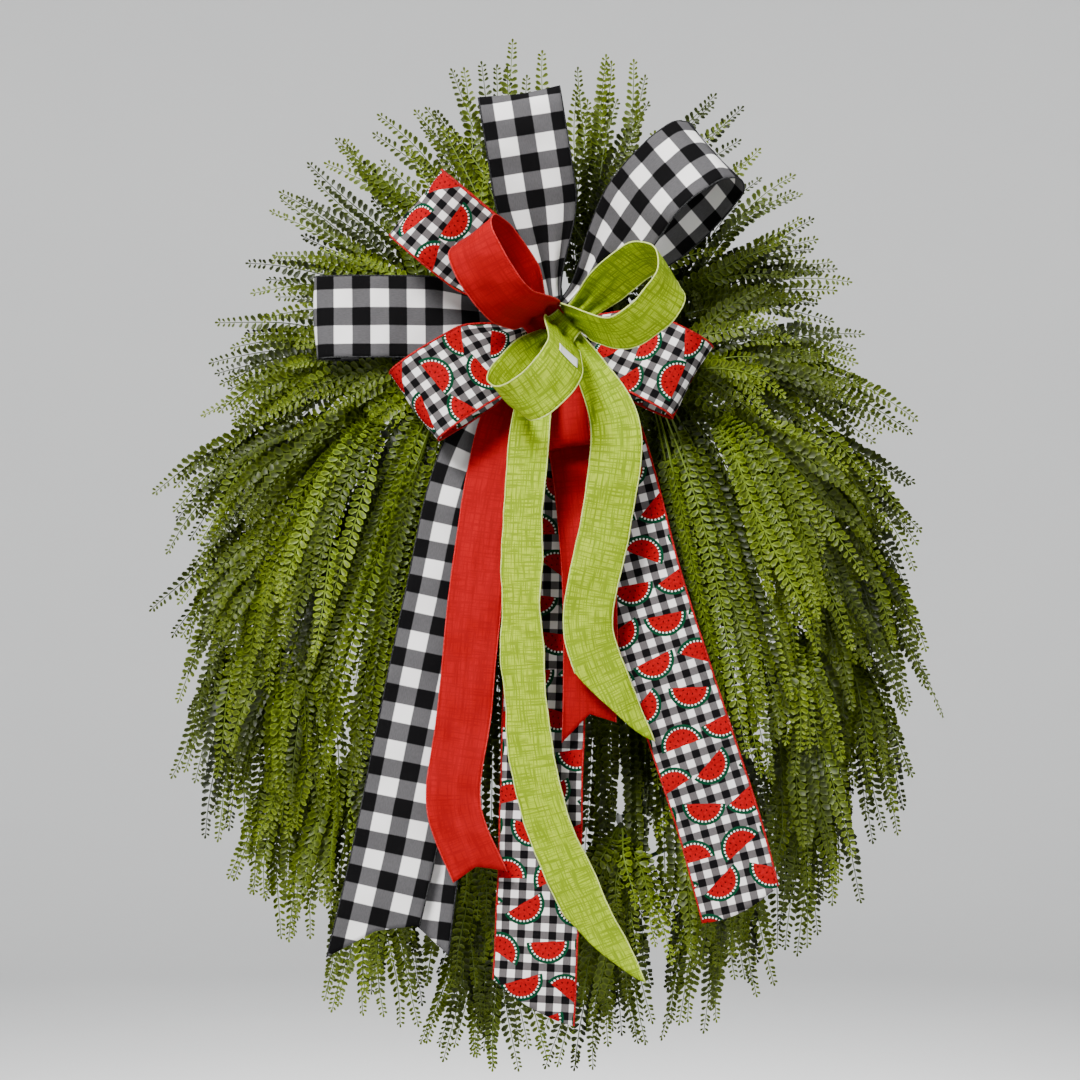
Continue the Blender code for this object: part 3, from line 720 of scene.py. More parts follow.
def frond_path(stem, aside, end, chance, lift=0.0):
    """The line of one frond: beside its stem by aside, and as long as end says."""
    swing, phase = chance.uniform(0.3, 1) * SWING, chance.uniform(0, math.tau)
    height, sag = lift + chance.uniform(-3.5, 3.5) * MM, chance.uniform(0, 1) * SAG
    roll = math.radians(chance.gauss(0, 18))
    drift = chance.uniform(-0.35, 0.35)
    shares = [end * k / FROND_STEPS for k in range(FROND_STEPS + 1)]
    middle = Path([stem.point(t) for t in shares], [FRONT] * len(shares))
    side, out = -middle.out, middle.across
    t = np.array(shares)[:, None]
    fan = stem.layer.half_width * stem.fan * (aside * t**0.7 + drift * (t - 0.5) * smooth(t / 0.5))
    wave = swing * np.sin(5.5 * t + phase) * smooth(t / 0.4)
    points = middle.points + side * (fan + wave)
    points += out * (height * smooth(t / 0.3) - 4 * MM * aside**2 * t)
    points[:, 2:3] -= sag * t**2
    turned = side * math.cos(roll) + out * math.sin(roll)
    return Path(points, turned)


def frond_sides(count, chance):
    """Places across the fan, spread evenly and then shaken."""
    return [2 * (k + 0.5) / count - 1 + chance.uniform(-0.25, 0.25) for k in range(count)]


def add_frond(bm, path, bare, tone_and_shade, kinds, chance):
    """A frond of leaflets and its stem, bent onto a path, with the tone and painted shade of its leaves."""
    room = path.length * (1 - bare) / PITCH
    fitting = [pairs for pairs in FROND_PAIRS if pairs <= room] or FROND_PAIRS[:1]
    shape = chance.choice(kinds[fitting[-1]])
    rows = coordinates(shape)
    rows[:, 0] += path.length
    start = len(bm.verts)
    append_shape(bm, shape, path.carry(rows))
    add_rod(bm, STEM_SHAPE, path, STEM_R)
    bm.verts.ensure_lookup_table()
    marks = bm.verts.layers.float_color[MARK]
    for vert in bm.verts[start:]:
        rim_highlight, fresh_tip_and_light, _, stem = vert[marks]
        vert[marks] = (rim_highlight, fresh_tip_and_light, tone_and_shade, stem)


# %% The stalk of a bunch
def add_stalk(bm, root, ring_radius, crown, front_y):
    """The wired stalk that stands forward from the ring, and its end bent round the ring."""
    ring = polar(crown, ring_radius)
    seat = WIRE_R + CLEAR
    front = Vector((root.x, front_y, root.z))
    post = [ring.lerp(front, k / 6) for k in range(7)]
    post[0] = ring + FRONT * seat
    add_rod(bm, STALK_SHAPE, Path(post), 3.2 * MM)
    out = heading(crown)
    hook = []
    for k in range(13):
        turn = math.radians(-150 + 25 * k)
        offset = out * math.cos(turn) + FRONT * math.sin(turn)
        hook.append(ring + offset * (seat + 1.3 * MM))
    add_rod(bm, HOOK_SHAPE, Path(hook), 1.1 * MM)


STALK_SHAPE = rod(8, 5, tip=0.75)
HOOK_SHAPE = rod(6, 14)


def grow_bunch(name, ring_radius, crown, front_y, stems, finish):
    chance = random.Random(name)
    bm = bmesh.new()
    marks = bm.verts.layers.float_color.new(MARK)
    add_stalk(bm, stems[0].root, ring_radius, crown, front_y)
    for vert in bm.verts:
        vert[marks] = (0.3, 0.0, 0.1, 0.6)
    # Bunches low on the ring get less painted shade, so their fronds are painted lighter.
    low = float(smooth((-0.30 - stems[0].root.z) / 0.15))
    for stem in stems:
        deep = stem.layer.shade < 0.5
        shade = stem.layer.shade + (1 - stem.layer.shade) * 0.6 * low
        for aside in frond_sides(stem.layer.fronds, chance):
            shy = 0.26 if abs(aside) > 0.3 else 0.12
            end = 1.0 - chance.uniform(0, shy) + 0.10 * (stem.fan - 1.15)
            # A frond's tone is a random tone times its layer's painted shade.
            tone_and_shade = min(1.0, max(0.05, chance.gauss(0.60, 0.28))) * shade
            path = frond_path(stem, aside, end, chance)
            add_frond(bm, path, stem.layer.bare, tone_and_shade, DEEP_FRONDS if deep else FRONDS, chance)
    # Filler fronds tucked low behind are painted very dark, as painted shade in the depth of the bunch.
    for stem in stems[:2]:
        for aside in frond_sides(FILLERS, chance):
            path = frond_path(stem, 1.15 * aside, chance.uniform(0.55, 0.86), chance, -4 * MM)
            add_frond(bm, path, 0.04, chance.uniform(0.02, 0.12), DEEP_FRONDS, chance)
    bunch = put(name + "_leaves", bm, finish)
    bunch.data.set_sharp_from_angle(angle=math.radians(75))
    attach(bunch, "root")
    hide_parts(name)
    return bunch


grown = [grow_bunch(*bunch, fern.made) for bunch in BUNCHES]
print("fern triangles:", sum(len(p.vertices) - 2 for b in grown for p in b.data.polygons))
print("largest bunch:", max(len(b.data.polygons) for b in grown), "faces")

# %% [markdown]
# ## The weave of the ribbons
#
# Every ribbon carries its own flat map: how far across it and how far along it a point is,
# in metres. All prints and weaves are drawn in that map, so they keep their real size and
# bend with the cloth. The weave is two sets of fine lines, one across and one along.

# %% Weave and check helpers
FLAT = "flat_cloth"


def cloth_place(recipe):
    """How far across and how far along the ribbon a point is, in metres."""
    place = recipe.add("UVMap", {}, uv_map=FLAT)
    split = recipe.tree.nodes.new("ShaderNodeSeparateXYZ")
    recipe.feed(split.inputs[0], place)
    return place, split.outputs[0], split.outputs[1]


def stripe(recipe, distance, period, sharp):
    """1 on one half of each period and 0 on the other, with a soft edge."""
    wave = recipe.math("COSINE", recipe.math("MULTIPLY", distance, math.tau / period))
    return recipe.ramp(wave, -sharp, sharp)


def threads(recipe, across, along, pitch):
    """The height of a plain weave."""
    warp = recipe.math("SINE", recipe.math("MULTIPLY", across, math.tau / pitch))
    weft = recipe.math("SINE", recipe.math("MULTIPLY", along, math.tau / pitch))
    return recipe.math("ADD", recipe.math("MULTIPLY", warp, 0.5), recipe.math("MULTIPLY", weft, 0.5))


def slubs(recipe, place, across_scale, along_scale, detail=3.0):
    """Long streaks of uneven thread, stretched by different scales across and along."""
    stretched = recipe.add("Mapping", {"Vector": place, "Scale": (across_scale, along_scale, 1)})
    return recipe.noise(stretched, 1.0, detail)


# %% Checked ribbon
def checked(name, period, white, grey, black):
    """A woven check: white where both threads are white, black where both are black."""
    recipe = Recipe(name, Roughness=0.85, Specular_IOR_Level=0.05)
    place, across, along = cloth_place(recipe)
    warp = stripe(recipe, across, period, 0.10)
    weft = stripe(recipe, along, period, 0.10)
    both = recipe.math("MULTIPLY", warp, weft)
    either = recipe.math("MAXIMUM", warp, weft)
    fuzz = recipe.ramp(slubs(recipe, place, 1400, 350), 0.3, 0.7, -0.16, 0.16)
    middle = recipe.blend(recipe.math("ADD", fuzz, 0.5), rgb(*(g * 0.72 for g in grey)), rgb(*(g * 1.3 for g in grey)))
    colour = recipe.blend(either, rgb(*white), middle)
    colour = recipe.blend(both, colour, rgb(*black))
    return recipe, place, across, along, colour


check_cloth, place, across, along, colour = checked(
    "black_and_white_check", 28 * MM, (0.88, 0.855, 0.84), (0.082, 0.079, 0.082), (0.0035, 0.0033, 0.0036)
)
check_cloth.colour(colour)
check_cloth.bump(threads(check_cloth, across, along, 0.7 * MM), 0.00008, 0.6)

# %% [markdown]
# ## Linen ribbons
#
# The red and the lime ribbons are plain linen weaves. Both have soft lighter bands painted along their length, a
# painted sheen that stands for the light and shade on their folds. The lime one is full of darker, uneven threads in
# both directions, which read as a loose grid.

# %% Red and lime linen
def linen(name, base, dark, light, thread_share, painted_band_share):
    recipe = Recipe(name, Roughness=0.62, Specular_IOR_Level=0.08)
    place, across, along = cloth_place(recipe)
    warp = recipe.ramp(slubs(recipe, place, 700, 45), 0.44, 0.60)
    weft = recipe.ramp(slubs(recipe, place, 45, 700), 0.44, 0.60)
    dark_thread = recipe.math("MULTIPLY", recipe.math("MAXIMUM", warp, weft), thread_share)
    # Soft lighter streaks along the ribbon are painted light and shade of its folds.
    painted_light_bands = recipe.ramp(slubs(recipe, place, 120, 4), 0.42, 0.58)
    colour = recipe.blend(recipe.math("MULTIPLY", painted_light_bands, painted_band_share), base, light)
    colour = recipe.blend(dark_thread, colour, dark)
    recipe.colour(colour)
    height = recipe.math("ADD", threads(recipe, across, along, 0.62 * MM), recipe.math("MULTIPLY", dark_thread, 0.8))
    recipe.bump(height, 0.0001, 0.7)
    return recipe.made


red_linen = linen("red_linen", rgb(0.31, 0.0, 0.002), rgb(0.20, 0.0, 0.001), rgb(0.39, 0.001, 0.004), 0.50, 0.6)
lime_linen = linen("lime_linen", rgb(0.37, 0.52, 0.008), rgb(0.15, 0.24, 0.001), rgb(0.45, 0.58, 0.022), 0.85, 0.5)

# %% [markdown]
# ## Melon slices on gingham
#
# The last ribbon is a small gingham printed with slices of melon. Each slice is half a disc
# in a cell of a staggered grid, turned by an angle that belongs to the cell. Rings of the
# disc are flesh, a dotted pale line and a dark green rind, and small seeds sit in the flesh.

# %% Melon print
SLICE_R = 16.4 * MM
CELL_ACROSS = 35 * MM
CELL_ALONG = 29 * MM


def add_slices(recipe, place, across, along, colour, seed, shift):
    """Draws one staggered set of slices over a colour."""
    row = recipe.math("FLOOR", recipe.math("DIVIDE", along, CELL_ALONG))
    stagger = recipe.math("MULTIPLY", recipe.math("MODULO", row, 2.0), 0.5)
    column = recipe.math("ADD", recipe.math("DIVIDE", recipe.math("ADD", across, shift), CELL_ACROSS), stagger)
    column_id = recipe.math("FLOOR", column)
    key = recipe.add("CombineXYZ", {0: row, 1: column_id, 2: seed})
    drawn = recipe.add("TexWhiteNoise", {"Vector": key}, output=0)
    local_x = recipe.math("MULTIPLY", recipe.math("SUBTRACT", recipe.math("FRACT", column), 0.5), CELL_ACROSS)
    fraction = recipe.math("FRACT", recipe.math("DIVIDE", along, CELL_ALONG))
    local_y = recipe.math("MULTIPLY", recipe.math("SUBTRACT", fraction, 0.5), CELL_ALONG)
    flipped = recipe.math("ROUND", recipe.math("FRACT", recipe.math("MULTIPLY", drawn, 7.0)))
    lean = recipe.math("MULTIPLY", recipe.math("SUBTRACT", drawn, 0.5), 1.5)
    angle = recipe.math("MULTIPLY_ADD", flipped, math.pi, lean)
    here = recipe.add("CombineXYZ", {0: local_x, 1: local_y, 2: 0.0})
    turned = recipe.add("VectorRotate", {"Vector": here, "Angle": angle}, rotation_type="Z_AXIS")
    split = recipe.tree.nodes.new("ShaderNodeSeparateXYZ")
    recipe.feed(split.inputs[0], turned)
    x, y = split.outputs[0], recipe.math("ADD", split.outputs[1], 0.36 * SLICE_R)
    radius = recipe.math("SQRT", recipe.math("ADD", recipe.math("MULTIPLY", x, x), recipe.math("MULTIPLY", y, y)))
    turn = recipe.math("ARCTAN2", y, x)
    soft = 0.12 * MM
    upper = recipe.ramp(y, -soft, soft)

    def inside(share):
        edge = SLICE_R * share
        return recipe.math("MULTIPLY", recipe.ramp(radius, edge - soft, edge + soft, 1.0, 0.0), upper)

    def cells(count, ring, size, low_share=1.0):
        """Round marks spaced evenly on a ring of the slice."""
        phase = recipe.math("MULTIPLY", turn, count / math.pi)
        aside = recipe.math("SUBTRACT", recipe.math("FRACT", phase), 0.5)
        across_mark = recipe.math("MULTIPLY", aside, math.pi / count * SLICE_R * ring)
        onward = recipe.math("MULTIPLY", recipe.math("SUBTRACT", radius, SLICE_R * ring), low_share)
        reach = recipe.math("SQRT", recipe.math("ADD", recipe.math("MULTIPLY", across_mark, across_mark), recipe.math("MULTIPLY", onward, onward)))
        return recipe.math("MULTIPLY", recipe.ramp(reach, size * 0.8, size * 1.2, 1.0, 0.0), upper)

    colour = recipe.blend(inside(1.0), colour, rgb(0.001, 0.040, 0.015))
    colour = recipe.blend(inside(0.88), colour, rgb(0.010, 0.020, 0.012))
    flesh = recipe.blend(recipe.ramp(slubs(recipe, place, 500, 500), 0.3, 0.7), rgb(0.26, 0.0, 0.003), rgb(0.36, 0.001, 0.005))
    colour = recipe.blend(inside(0.79), colour, flesh)
    colour = recipe.blend(cells(16, 0.835, 0.72 * MM), colour, rgb(0.80, 0.80, 0.74))
    colour = recipe.blend(cells(7, 0.60, 0.50 * MM, 0.55), colour, rgb(0.05, 0.004, 0.004))
    colour = recipe.blend(cells(4, 0.32, 0.48 * MM, 0.55), colour, rgb(0.05, 0.004, 0.004))
    return colour


melon_cloth, place, across, along, colour = checked(
    "melon_gingham", 12.0 * MM, (0.84, 0.80, 0.78), (0.105, 0.095, 0.096), (0.004, 0.0035, 0.004)
)
colour = add_slices(melon_cloth, place, across, along, colour, 3.0, 8 * MM)
melon_cloth.colour(colour)
melon_cloth.bump(threads(melon_cloth, across, along, 0.7 * MM), 0.00008, 0.6)

# %% [markdown]
# ## Hems
#
# Each ribbon has a thin wire sewn into both edges, which is what lets the bow keep its
# shape. The hem over it is a narrow raised line: black and fuzzy on the check, red
# overlocking on the melon print, and nearly the ribbon's own colour on the two linens.

# %% Hem materials
def hem_finish(name, first, second, pitch):
    recipe = Recipe(name, Roughness=0.8, Specular_IOR_Level=0.15)
    place = recipe.add("TexCoord", {}, output=3)
    stitches = recipe.ramp(recipe.noise(place, 1 / pitch, 1.0), 0.4, 0.6)
    recipe.colour(recipe.blend(stitches, first, second))
    recipe.bump(stitches, 0.0002, 0.6)
    return recipe.made


HEMS = {
    "check": hem_finish("check_hem", rgb(0.008, 0.008, 0.009), rgb(0.03, 0.03, 0.03), 1.6 * MM),
    "melon": hem_finish("melon_hem", rgb(0.20, 0.002, 0.004), rgb(0.42, 0.008, 0.010), 1.4 * MM),
    "red": hem_finish("red_hem", rgb(0.50, 0.03, 0.03), rgb(0.42, 0.004, 0.006), 1.2 * MM),
    "green": hem_finish("lime_hem", rgb(0.46, 0.56, 0.10), rgb(0.58, 0.66, 0.22), 1.2 * MM),
}
CLOTHS = {"check": check_cloth.made, "melon": melon_cloth.made, "red": red_linen, "green": lime_linen}
print("cloths:", ", ".join(sorted(CLOTHS)))

# %% [markdown]
# ## The lines of the bow
#
# Every ribbon is wired to one tie, at its own level from back to front, so none of them
# cuts another. A loop goes out from the tie, turns back at its far end and returns. A tail
# leaves downwards and hangs. The numbers repeat those of the solids.

# %% Levels on the tie
BOW = Vector((5 * MM, 0, -44 * MM))
HALF_WIDTHS = {"check": 31.75 * MM, "melon": 31.75 * MM, "red": 20.5 * MM, "green": 19.5 * MM}
NECK_HALF = 7.5 * MM
TIE_R = 9 * MM
TIE_BACK_Y = -60 * MM
TIE_LEVELS = 33


def tie_level(index):
    """Where on the tie a ribbon end sits, counted from the back; past its end they stack up."""
    if index < TIE_LEVELS:
        return TIE_BACK_Y - 2.0 * MM * (index + 1)
    return TIE_BACK_Y - 2.0 * MM * TIE_LEVELS - (0.5 + 0.35 + 1.4 * (index - TIE_LEVELS)) * MM


def spline(points, t):
    """A smooth curve through rows of numbers, t from 0 to 1."""
    spans = len(points) - 1
    i = min(spans - 1, int(t * spans))
    u = t * spans - i
    rows = [points[max(0, min(spans, i + k))] for k in (-1, 0, 1, 2)]
    return [
        b + 0.5 * u * (c - a + u * (2 * a - 5 * b + 4 * c - d + u * (3 * (b - c) + d - a)))
        for a, b, c, d in zip(*rows)
    ]


FRONT_NECKS = {"red_loop_top": 15 * MM, "green_loop_lower": 12 * MM, "green_loop_right": 11 * MM}


class Ribbon:
    """A ribbon's middle line, its half width at each share of it, and how its end is cut."""

    def __init__(self, name, cloth, path, opening, neck, both_ends, cut=0.0, slant=0.0):
        self.name, self.cloth, self.path = name, cloth, path
        self.opening, self.neck, self.both_ends = opening, neck, both_ends
        self.cut, self.slant = cut, slant
        self.full, self.front_neck = HALF_WIDTHS[cloth], FRONT_NECKS.get(name, neck)

    def near(self, t):
        """How near this share of the ribbon is to the tie."""
        return np.minimum(t, 1 - t) if self.both_ends else t

    def half(self, t):
        neck = np.where(t < 0.5, self.front_neck, self.neck)
        return neck + (self.full - neck) * smooth(self.near(t) / self.opening)


# %% [markdown]
# ## Loops
#
# Two side views of a loop are enough for the whole bow: a slim one for the wide ribbons that
# lie back on the leaves, and a round one for the small loops piled at the front. Each row
# below gives a loop its heading, length, bulge and lean.

# %% The loops' lines
LOOPS = (
    # name, cloth, heading, length, bulge, roll, lift, back level, front level, root x and z
    ("plaid_loop_left", "check", 180.5, 184, 16, 4, 3, 5.3, 8, 0, 0),
    ("plaid_loop_top", "check", 99, 174, 18, 0, 6, 6.2, 9, 0, 0),
    ("plaid_loop_right", "check", 41.5, 177, 52, -25, 9, 7.1, 10, 0, 0),
    ("melon_loop_lower", "melon", 214, 134, 26, 6, 14, 12, 16, 0, 0),
    ("melon_loop_upper", "melon", 141, 140, 26, -6, 14, 13, 17, 0, 0),
    ("melon_loop_right", "melon", 333, 120, 24, -8, 12, 14, 18, 0, 0),
    ("red_loop_lower", "red", 275, 104, 12, 8, 10, 21, 23, 0, 0),
    ("green_loop_right", "green", 42, 82, 58, 42, 22, 33, 36, 13, -4),
    ("green_loop_lower", "green", 226, 72, 56, -24, 24, 34, 38, 3, -14),
    ("red_loop_top", "red", 124, 82, 56, -20, 24, 33, 37, -11, -1),
)
SLIM_LOOP = (
    (0, 0), (0.14, 0.1), (0.4, 0.55), (0.7, 1.0), (0.93, 0.95), (1.0, 0.5),
    (0.95, 0.05), (0.7, -0.12), (0.4, -0.08), (0.14, -0.02), (0, 0),
)
ROUND_LOOP = (
    (0, 0), (0.02, 0.4), (0.22, 0.86), (0.55, 1.0), (0.88, 0.84), (1.0, 0.45),
    (0.9, 0.1), (0.62, 0.0), (0.35, 0.0), (0.12, 0.0), (0, 0),
)
LINE_STEPS = 90


def loop_ribbon(row):
    """A loop that leaves the tie, bulges to the front, turns back and returns."""
    name, cloth, angle, length, bulge, roll, lift, back, front, root_x, root_z = row
    out, side = heading(angle), heading(angle + 90)
    lean = math.radians(lift)
    reach_way = out * math.cos(lean) + FRONT * math.sin(lean)
    stacked = back >= TIE_LEVELS
    face_way = FRONT if stacked else FRONT * math.cos(lean) - out * math.sin(lean)
    middle = (tie_level(back) + tie_level(front)) / 2
    gap = tie_level(back) - tie_level(front)
    start = 0.0 if stacked else TIE_R + CLEAR
    root = BOW + Vector((root_x * MM, middle, root_z * MM)) + out * start
    points, widths = [], []
    for i in range(LINE_STEPS + 1):
        t = i / LINE_STEPS
        turn = math.radians(roll) * float(smooth(min(t, 1 - t) / 0.2))
        away = face_way * math.cos(turn) - side * math.sin(turn)
        widths.append(side * math.cos(turn) + face_way * math.sin(turn))
        onward, forward = spline(ROUND_LOOP if stacked else SLIM_LOOP, t)
        point = root + reach_way * (onward * (length * MM - start))
        points.append(point + FRONT * (gap / 2 * math.cos(math.pi * t)) + away * (forward * bulge * MM))
    if stacked:
        points = [points[0] - out * (12 - 3 * k) * MM for k in range(4)] + points
        widths = [widths[0]] * 4 + widths
    neck, opening = (9 * MM, 0.16) if stacked else (NECK_HALF, 0.26)
    return Ribbon(name, cloth, Path(points, widths), opening, neck, True)


# %% [markdown]
# ## Tails
#
# A tail is a smooth line through a few places measured from the tie, with a roll at each.
# Its end is cut on a slant and has a notch, or is rounded where the notch is below zero.

# %% The tails' lines
TAILS = (
    # name, cloth, level on the tie, notch, slant, opening, then x, z, y and roll down the tail
    ("plaid_tail_back", "check", -0.6, 10, 12, 0.22, (
        (-17, -42, -70.5, 0), (-50, -130, -99, -4), (-76, -230, -109, -4),
        (-93, -330, -112, 0), (-104, -420, -115, 4), (-110, -470, -116, 6))),
    ("plaid_tail_short", "check", 0.6, 20, 0, 0.22, (
        (15, -42, -74.5, 0), (28, -120, -98, 2), (34, -200, -107, 2),
        (34, -256, -109, 0), (30, -300, -109, 0))),
    ("plaid_tail_left", "check", 1.9, 8, -20, 0.22, (
        (-19, -42, -80, 0), (-60, -120, -107, 0), (-82, -215, -117, -2),
        (-104, -320, -122, 2), (-122, -410, -126, 0), (-137, -474, -128, -4))),
    ("melon_tail_right", "melon", 3.1, -6, -7, 0.22, (
        (20, -42, -83.5, 0), (44, -120, -109, 5), (66, -205, -117, 4),
        (93, -290, -121, 0), (124, -385, -124, 4), (140, -446, -128, 8))),
    ("melon_tail_middle", "melon", 4.3, -5, 16, 0.22, (
        (-2, -42, -86.5, 0), (-4, -120, -112, 2), (-6, -220, -121, 8),
        (-9, -320, -124, 10), (-12, -430, -128, 10), (-16, -520, -130, 4))),
    ("red_tail_left", "red", 11, 8, 4, 0.22, (
        (-22, -42, -90.5, 0), (-42, -101, -111, 6), (-58, -200, -130, 6),
        (-68, -300, -134, 6), (-76, -370, -138, 6), (-56, -424, -138, 6))),
    ("red_tail_right", "red", 15.2, 14, -8, 0.22, (
        (4, -42, -101, 0), (16, -100, -112, 0), (24, -170, -129, -4),
        (27, -240, -134, -6), (26, -316, -135, -6))),
    ("green_tail_left", "green", 25, -9, 34, 0.22, (
        (-10, -42, -129, 8), (-19, -92, -143, 36), (-25, -190, -149, 40),
        (-22, -290, -150, 34), (-7, -378, -150, 28), (38, -478, -146, 26))),
    ("green_tail_right", "green", 28, -9, 36, 0.35, (
        (28, -44, -137, 0), (46, -90, -147, -6), (38, -160, -148, -12),
        (25, -235, -148, -16), (46, -296, -144, -24))),
)


def tail_ribbon(row):
    """A tail that leaves the tie downwards and hangs, turning a little as it falls."""
    name, cloth, level, cut, slant, opening, points = row
    first = points[0]
    lead = heading(math.degrees(math.atan2(first[1], first[0])))
    start = lead * (TIE_R + 2 * CLEAR)
    rows = [(start.x / MM, start.z / MM, tie_level(level) / MM, 0.0), *points]
    line, widths = [], []
    for i in range(LINE_STEPS + 1):
        t = i / LINE_STEPS
        x, z, y, roll = spline(rows, t)
        low, high = spline(rows, max(0, t - 0.01)), spline(rows, min(1, t + 0.01))
        along = Vector((high[0] - low[0], high[2] - low[2], high[1] - low[1])).normalized()
        across = FRONT.cross(along).normalized()
        turn = math.radians(roll)
        widths.append(across * math.cos(turn) + along.cross(across) * math.sin(turn))
        line.append(Vector((BOW.x + x * MM, y * MM, BOW.z + z * MM)))
    return Ribbon(name, cloth, Path(line, widths), opening, NECK_HALF, False, cut * MM, slant * MM)


RIBBONS = [loop_ribbon(row) for row in LOOPS] + [tail_ribbon(row) for row in TAILS]
print("ribbons:", len(RIBBONS), "cloth in all, m:", round(sum(r.path.length for r in RIBBONS), 2))

# %% [markdown]
# ## Weaving the ribbons
#
# A ribbon starts as a flat grid. Its points are carried onto the ribbon's path, gathered
# into pleats where it is pinched at the tie, and waved a little along its free edges. The
# Solidify modifier then gives the cloth its thickness.

# %% Cloth from a grid
CLOTH_THICK = 0.5 * MM
PLEAT = 3.2 * MM
EDGE_WAVE = 1.1 * MM


def cloth_spots(ribbon, t, v, chance):
    """Distances along, across and out for shares t along and v across, from -1 to 1."""
    length = ribbon.path.length
    notch = 1 - np.abs(v) if ribbon.cut > 0 else 1 - v * v
    end = length + ribbon.slant * v - ribbon.cut * notch
    kept = 0.75 * length
    s = t * length
    s = np.where(s > kept, kept + (s - kept) * (end - kept) / (length - kept), s)
    share = np.minimum(s / length, 1.0)
    near = ribbon.near(share)
    gather = smooth(near / 0.06) * (1 - smooth(near / (1.15 * ribbon.opening)))
    folds = np.cos(math.pi * (2.5 * v + ribbon.pleat_phase))
    wave = np.sin(s * ribbon.wave_rate + ribbon.wave_phase + 1.3 * np.sign(v))
    free = smooth((near - 0.1) / 0.3)
    long_wave = np.sin(math.tau * s / (61 * MM) + 2.1 * v + ribbon.wave_phase)
    short_wave = np.sin(math.tau * s / (23 * MM) - 3.3 * v + ribbon.pleat_phase)
    crumple = free * (0.8 * long_wave + 0.35 * short_wave) * MM
    out = gather * folds * PLEAT + free * wave * EDGE_WAVE * v**2 + crumple
    return np.column_stack([s, v * ribbon.half(share), out])


def carry_past(path, spots):
    """Carries spots onto a path, straight on past its end where a slanted cut reaches past it."""
    over = np.maximum(spots[:, 0] - path.length, 0)[:, None]
    last = unit((path.points[-1] - path.points[-2])[None, :])
    return path.carry(spots) + last * over


def weave_ribbon(ribbon):
    chance = random.Random(ribbon.name)
    ribbon.pleat_phase = chance.uniform(0, 2)
    ribbon.wave_phase = chance.uniform(0, math.tau)
    ribbon.wave_rate = math.tau / (chance.uniform(55, 85) * MM)
    bm = bmesh.new()
    wide = 16 if ribbon.full > 25 * MM else 12
    long = round(ribbon.path.length / (4.2 * MM))
    bmesh.ops.create_grid(bm, x_segments=long, y_segments=wide, size=0.5)
    bm.verts.ensure_lookup_table()
    flat = np.array([(v.co.x + 0.5, 2 * v.co.y) for v in bm.verts])
    spots = cloth_spots(ribbon, flat[:, 0], flat[:, 1], chance)
    places = carry_past(ribbon.path, spots)
    flat_map = bm.loops.layers.uv.new(FLAT)
    for vert, place, spot, share in zip(bm.verts, places, spots, flat[:, 1]):
        vert.co = place
        for loop in vert.link_loops:
            loop[flat_map].uv = (share * ribbon.full, spot[0])
    piece = put(ribbon.name + "_cloth", bm, CLOTHS[ribbon.cloth])
    thick = piece.modifiers.new("thickness", "SOLIDIFY")
    thick.thickness = CLOTH_THICK
    thick.offset = 0
    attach(piece, "root")
    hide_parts(ribbon.name)
    return piece


HEM_SHAPE = rod(5, 80)


def sew_hems(ribbon):
    """A thin raised hem along both edges of a ribbon."""
    t = np.linspace(0, 1, 120)
    bm = bmesh.new()
    for edge in (-1, 1):
        spots = cloth_spots(ribbon, t, np.full_like(t, 0.985 * edge), None)
        add_rod(bm, HEM_SHAPE, Path(carry_past(ribbon.path, spots)), HEM_R[ribbon.cloth])
    bmesh.ops.recalc_face_normals(bm, faces=bm.faces)
    hem = put(ribbon.name + "_hems", bm, HEMS[ribbon.cloth])
    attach(hem, "root")
    return hem


HEM_R = {"check": 0.65 * MM, "melon": 0.85 * MM, "red": 0.55 * MM, "green": 0.60 * MM}
sheets = {}
for ribbon in RIBBONS:
    piece = weave_ribbon(ribbon)
    hems = sew_hems(ribbon)
    sheets[ribbon.name] = (ribbon, piece, [hems])
print("ribbon faces:", sum(len(piece.data.polygons) for _, piece, _ in sheets.values()))

# %% [markdown]
# ## The sewn label
#
# A small blank label is stitched to the outside of the lower green loop. It is a tiny grid
# laid on the loop's own path, a little above the cloth, so it curves with the ribbon.

# %% The label
label_cloth = Recipe("white_label_tape", Roughness=0.6)
tape_place, tape_across, tape_along = cloth_place(label_cloth)
tape_weave = threads(label_cloth, tape_across, tape_along, 0.5 * MM)
label_cloth.colour(label_cloth.blend(label_cloth.ramp(tape_weave, -1, 1), rgb(0.70, 0.70, 0.66), rgb(0.82, 0.82, 0.79)))
label_cloth.bump(tape_weave, 0.00005)
LABEL_WIDE, LABEL_LONG = 9 * MM, 20 * MM


def sew_label(ribbon):
    low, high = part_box("label")
    middle = (low + high) / 2
    gaps = np.linalg.norm(ribbon.path.points - np.array(middle), axis=1)
    spot = ribbon.path.marks[int(np.argmin(gaps))]
    bm = bmesh.new()
    bmesh.ops.create_grid(bm, x_segments=8, y_segments=14, size=0.5)
    flat_map = bm.loops.layers.uv.new(FLAT)
    for vert in bm.verts:
        x, y = vert.co.x, vert.co.y
        for loop in vert.link_loops:
            loop[flat_map].uv = (y * LABEL_LONG, x * LABEL_WIDE)
        lift = 1.0 * MM + 0.5 * MM * abs(2 * y) ** 3
        row = (spot + x * LABEL_WIDE, 2 * MM + y * LABEL_LONG, lift)
        vert.co = ribbon.path.carry(np.array([row]))[0]
    piece = put("label_tape", bm, label_cloth.made)
    thick = piece.modifiers.new("thickness", "SOLIDIFY")
    thick.thickness = 0.4 * MM
    thick.offset = 0
    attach(piece, "root")
    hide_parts("label")
    return piece


label = sew_label(sheets["green_loop_lower"][0])
sheets["green_loop_lower"][2].append(label)
print("label at, mm:", [round(x / MM) for x in label.data.vertices[60].co])

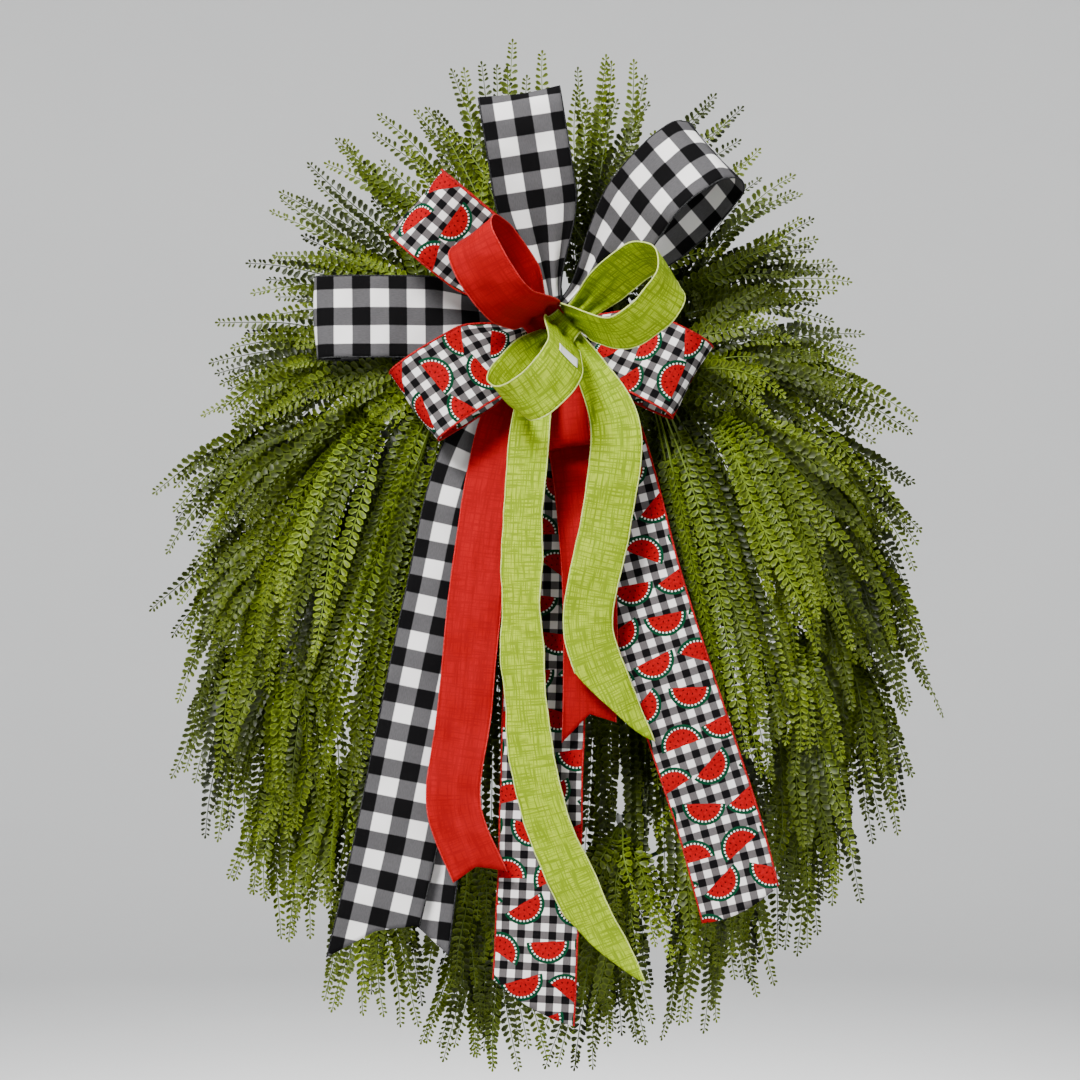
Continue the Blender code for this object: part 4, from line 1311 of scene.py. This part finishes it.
for ribbon, piece, extras in sheets.values():
    print(ribbon.name, "flat mm:", round(2 * ribbon.full / MM), "x", round(ribbon.path.length / MM))

# %% [markdown]
# ## The tie
#
# The bow is held by chenille wire wound round its middle, and the two ends of that wire are
# hooked round the frame's rings. It is a coil on a short core. A rough bump stands for the
# wire's pile.

# %% Chenille wire
chenille = Recipe("green_chenille", Roughness=0.95, Sheen_Weight=0.6, Sheen_Roughness=0.4)
pile = chenille.noise(chenille.add("TexCoord", {}, output=3), 1600.0, 3.0)
# The chenille's own dark green is painted darker still, near black-green, as painted shade in the middle of the bow.
chenille.colour(chenille.blend(chenille.ramp(pile, 0.35, 0.65), rgb(0.015, 0.045, 0.010), rgb(0.06, 0.12, 0.03)))
chenille.bump(pile, 0.0008, 0.9)

TIE_LENGTH = 2.0 * MM * TIE_LEVELS
COIL_TURNS = 14
COIL_R = 2.3 * MM
bm = bmesh.new()
core = [BOW + Vector((0, TIE_BACK_Y - 0.8 * TIE_LENGTH * k / 8, 0)) for k in range(9)]
add_rod(bm, rod(16, 7), Path(core), TIE_R - 2 * COIL_R + 1 * MM)
coil = []
for k in range(COIL_TURNS * 16 + 1):
    turn = math.tau * k / 16
    y = TIE_BACK_Y - COIL_R - (TIE_LENGTH - 2 * COIL_R) * k / (COIL_TURNS * 16)
    narrow = 1 - 0.5 * float(smooth((k / (COIL_TURNS * 16) - 0.78) / 0.15))
    offset = Vector((math.cos(turn), 0, math.sin(turn))) * (TIE_R - COIL_R) * narrow
    coil.append(BOW + Vector((0, y, 0)) + offset)
add_rod(bm, rod(8, COIL_TURNS * 16), Path(coil), COIL_R)
for ring_radius, way in ((OUTER_RING_R, 1), (INNER_RING_R, -1)):
    ring = polar(90 - math.degrees(math.atan(BOW.x / ring_radius)), ring_radius)
    up = Vector((0, 0, way))
    bend = WIRE_R + CLEAR + 2.0 * MM
    line = [BOW + Vector((0, TIE_BACK_Y - 4 * MM, way * 4 * MM)), ring + up * bend + FRONT * 12 * MM]
    for k in range(9):
        turn = math.radians(90 - 22 * k)
        line.append(ring + up * (bend * math.sin(turn)) - FRONT * (bend * math.cos(turn)))
    stations = [spline([tuple(p) for p in line], k / 60) for k in range(61)]
    add_rod(bm, rod(8, 60), Path(stations), 1.7 * MM)
bmesh.ops.recalc_face_normals(bm, faces=bm.faces)
tie = put("tie_coil", bm, chenille.made)
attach(tie, "root")
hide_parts("bow_tie")
print("tie faces:", len(tie.data.polygons))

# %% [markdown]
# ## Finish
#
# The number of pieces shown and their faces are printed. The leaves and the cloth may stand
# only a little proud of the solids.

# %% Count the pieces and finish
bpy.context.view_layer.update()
shown = [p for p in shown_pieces()]
print("pieces:", len(shown), "faces:", sum(len(p.data.polygons) for p in shown))
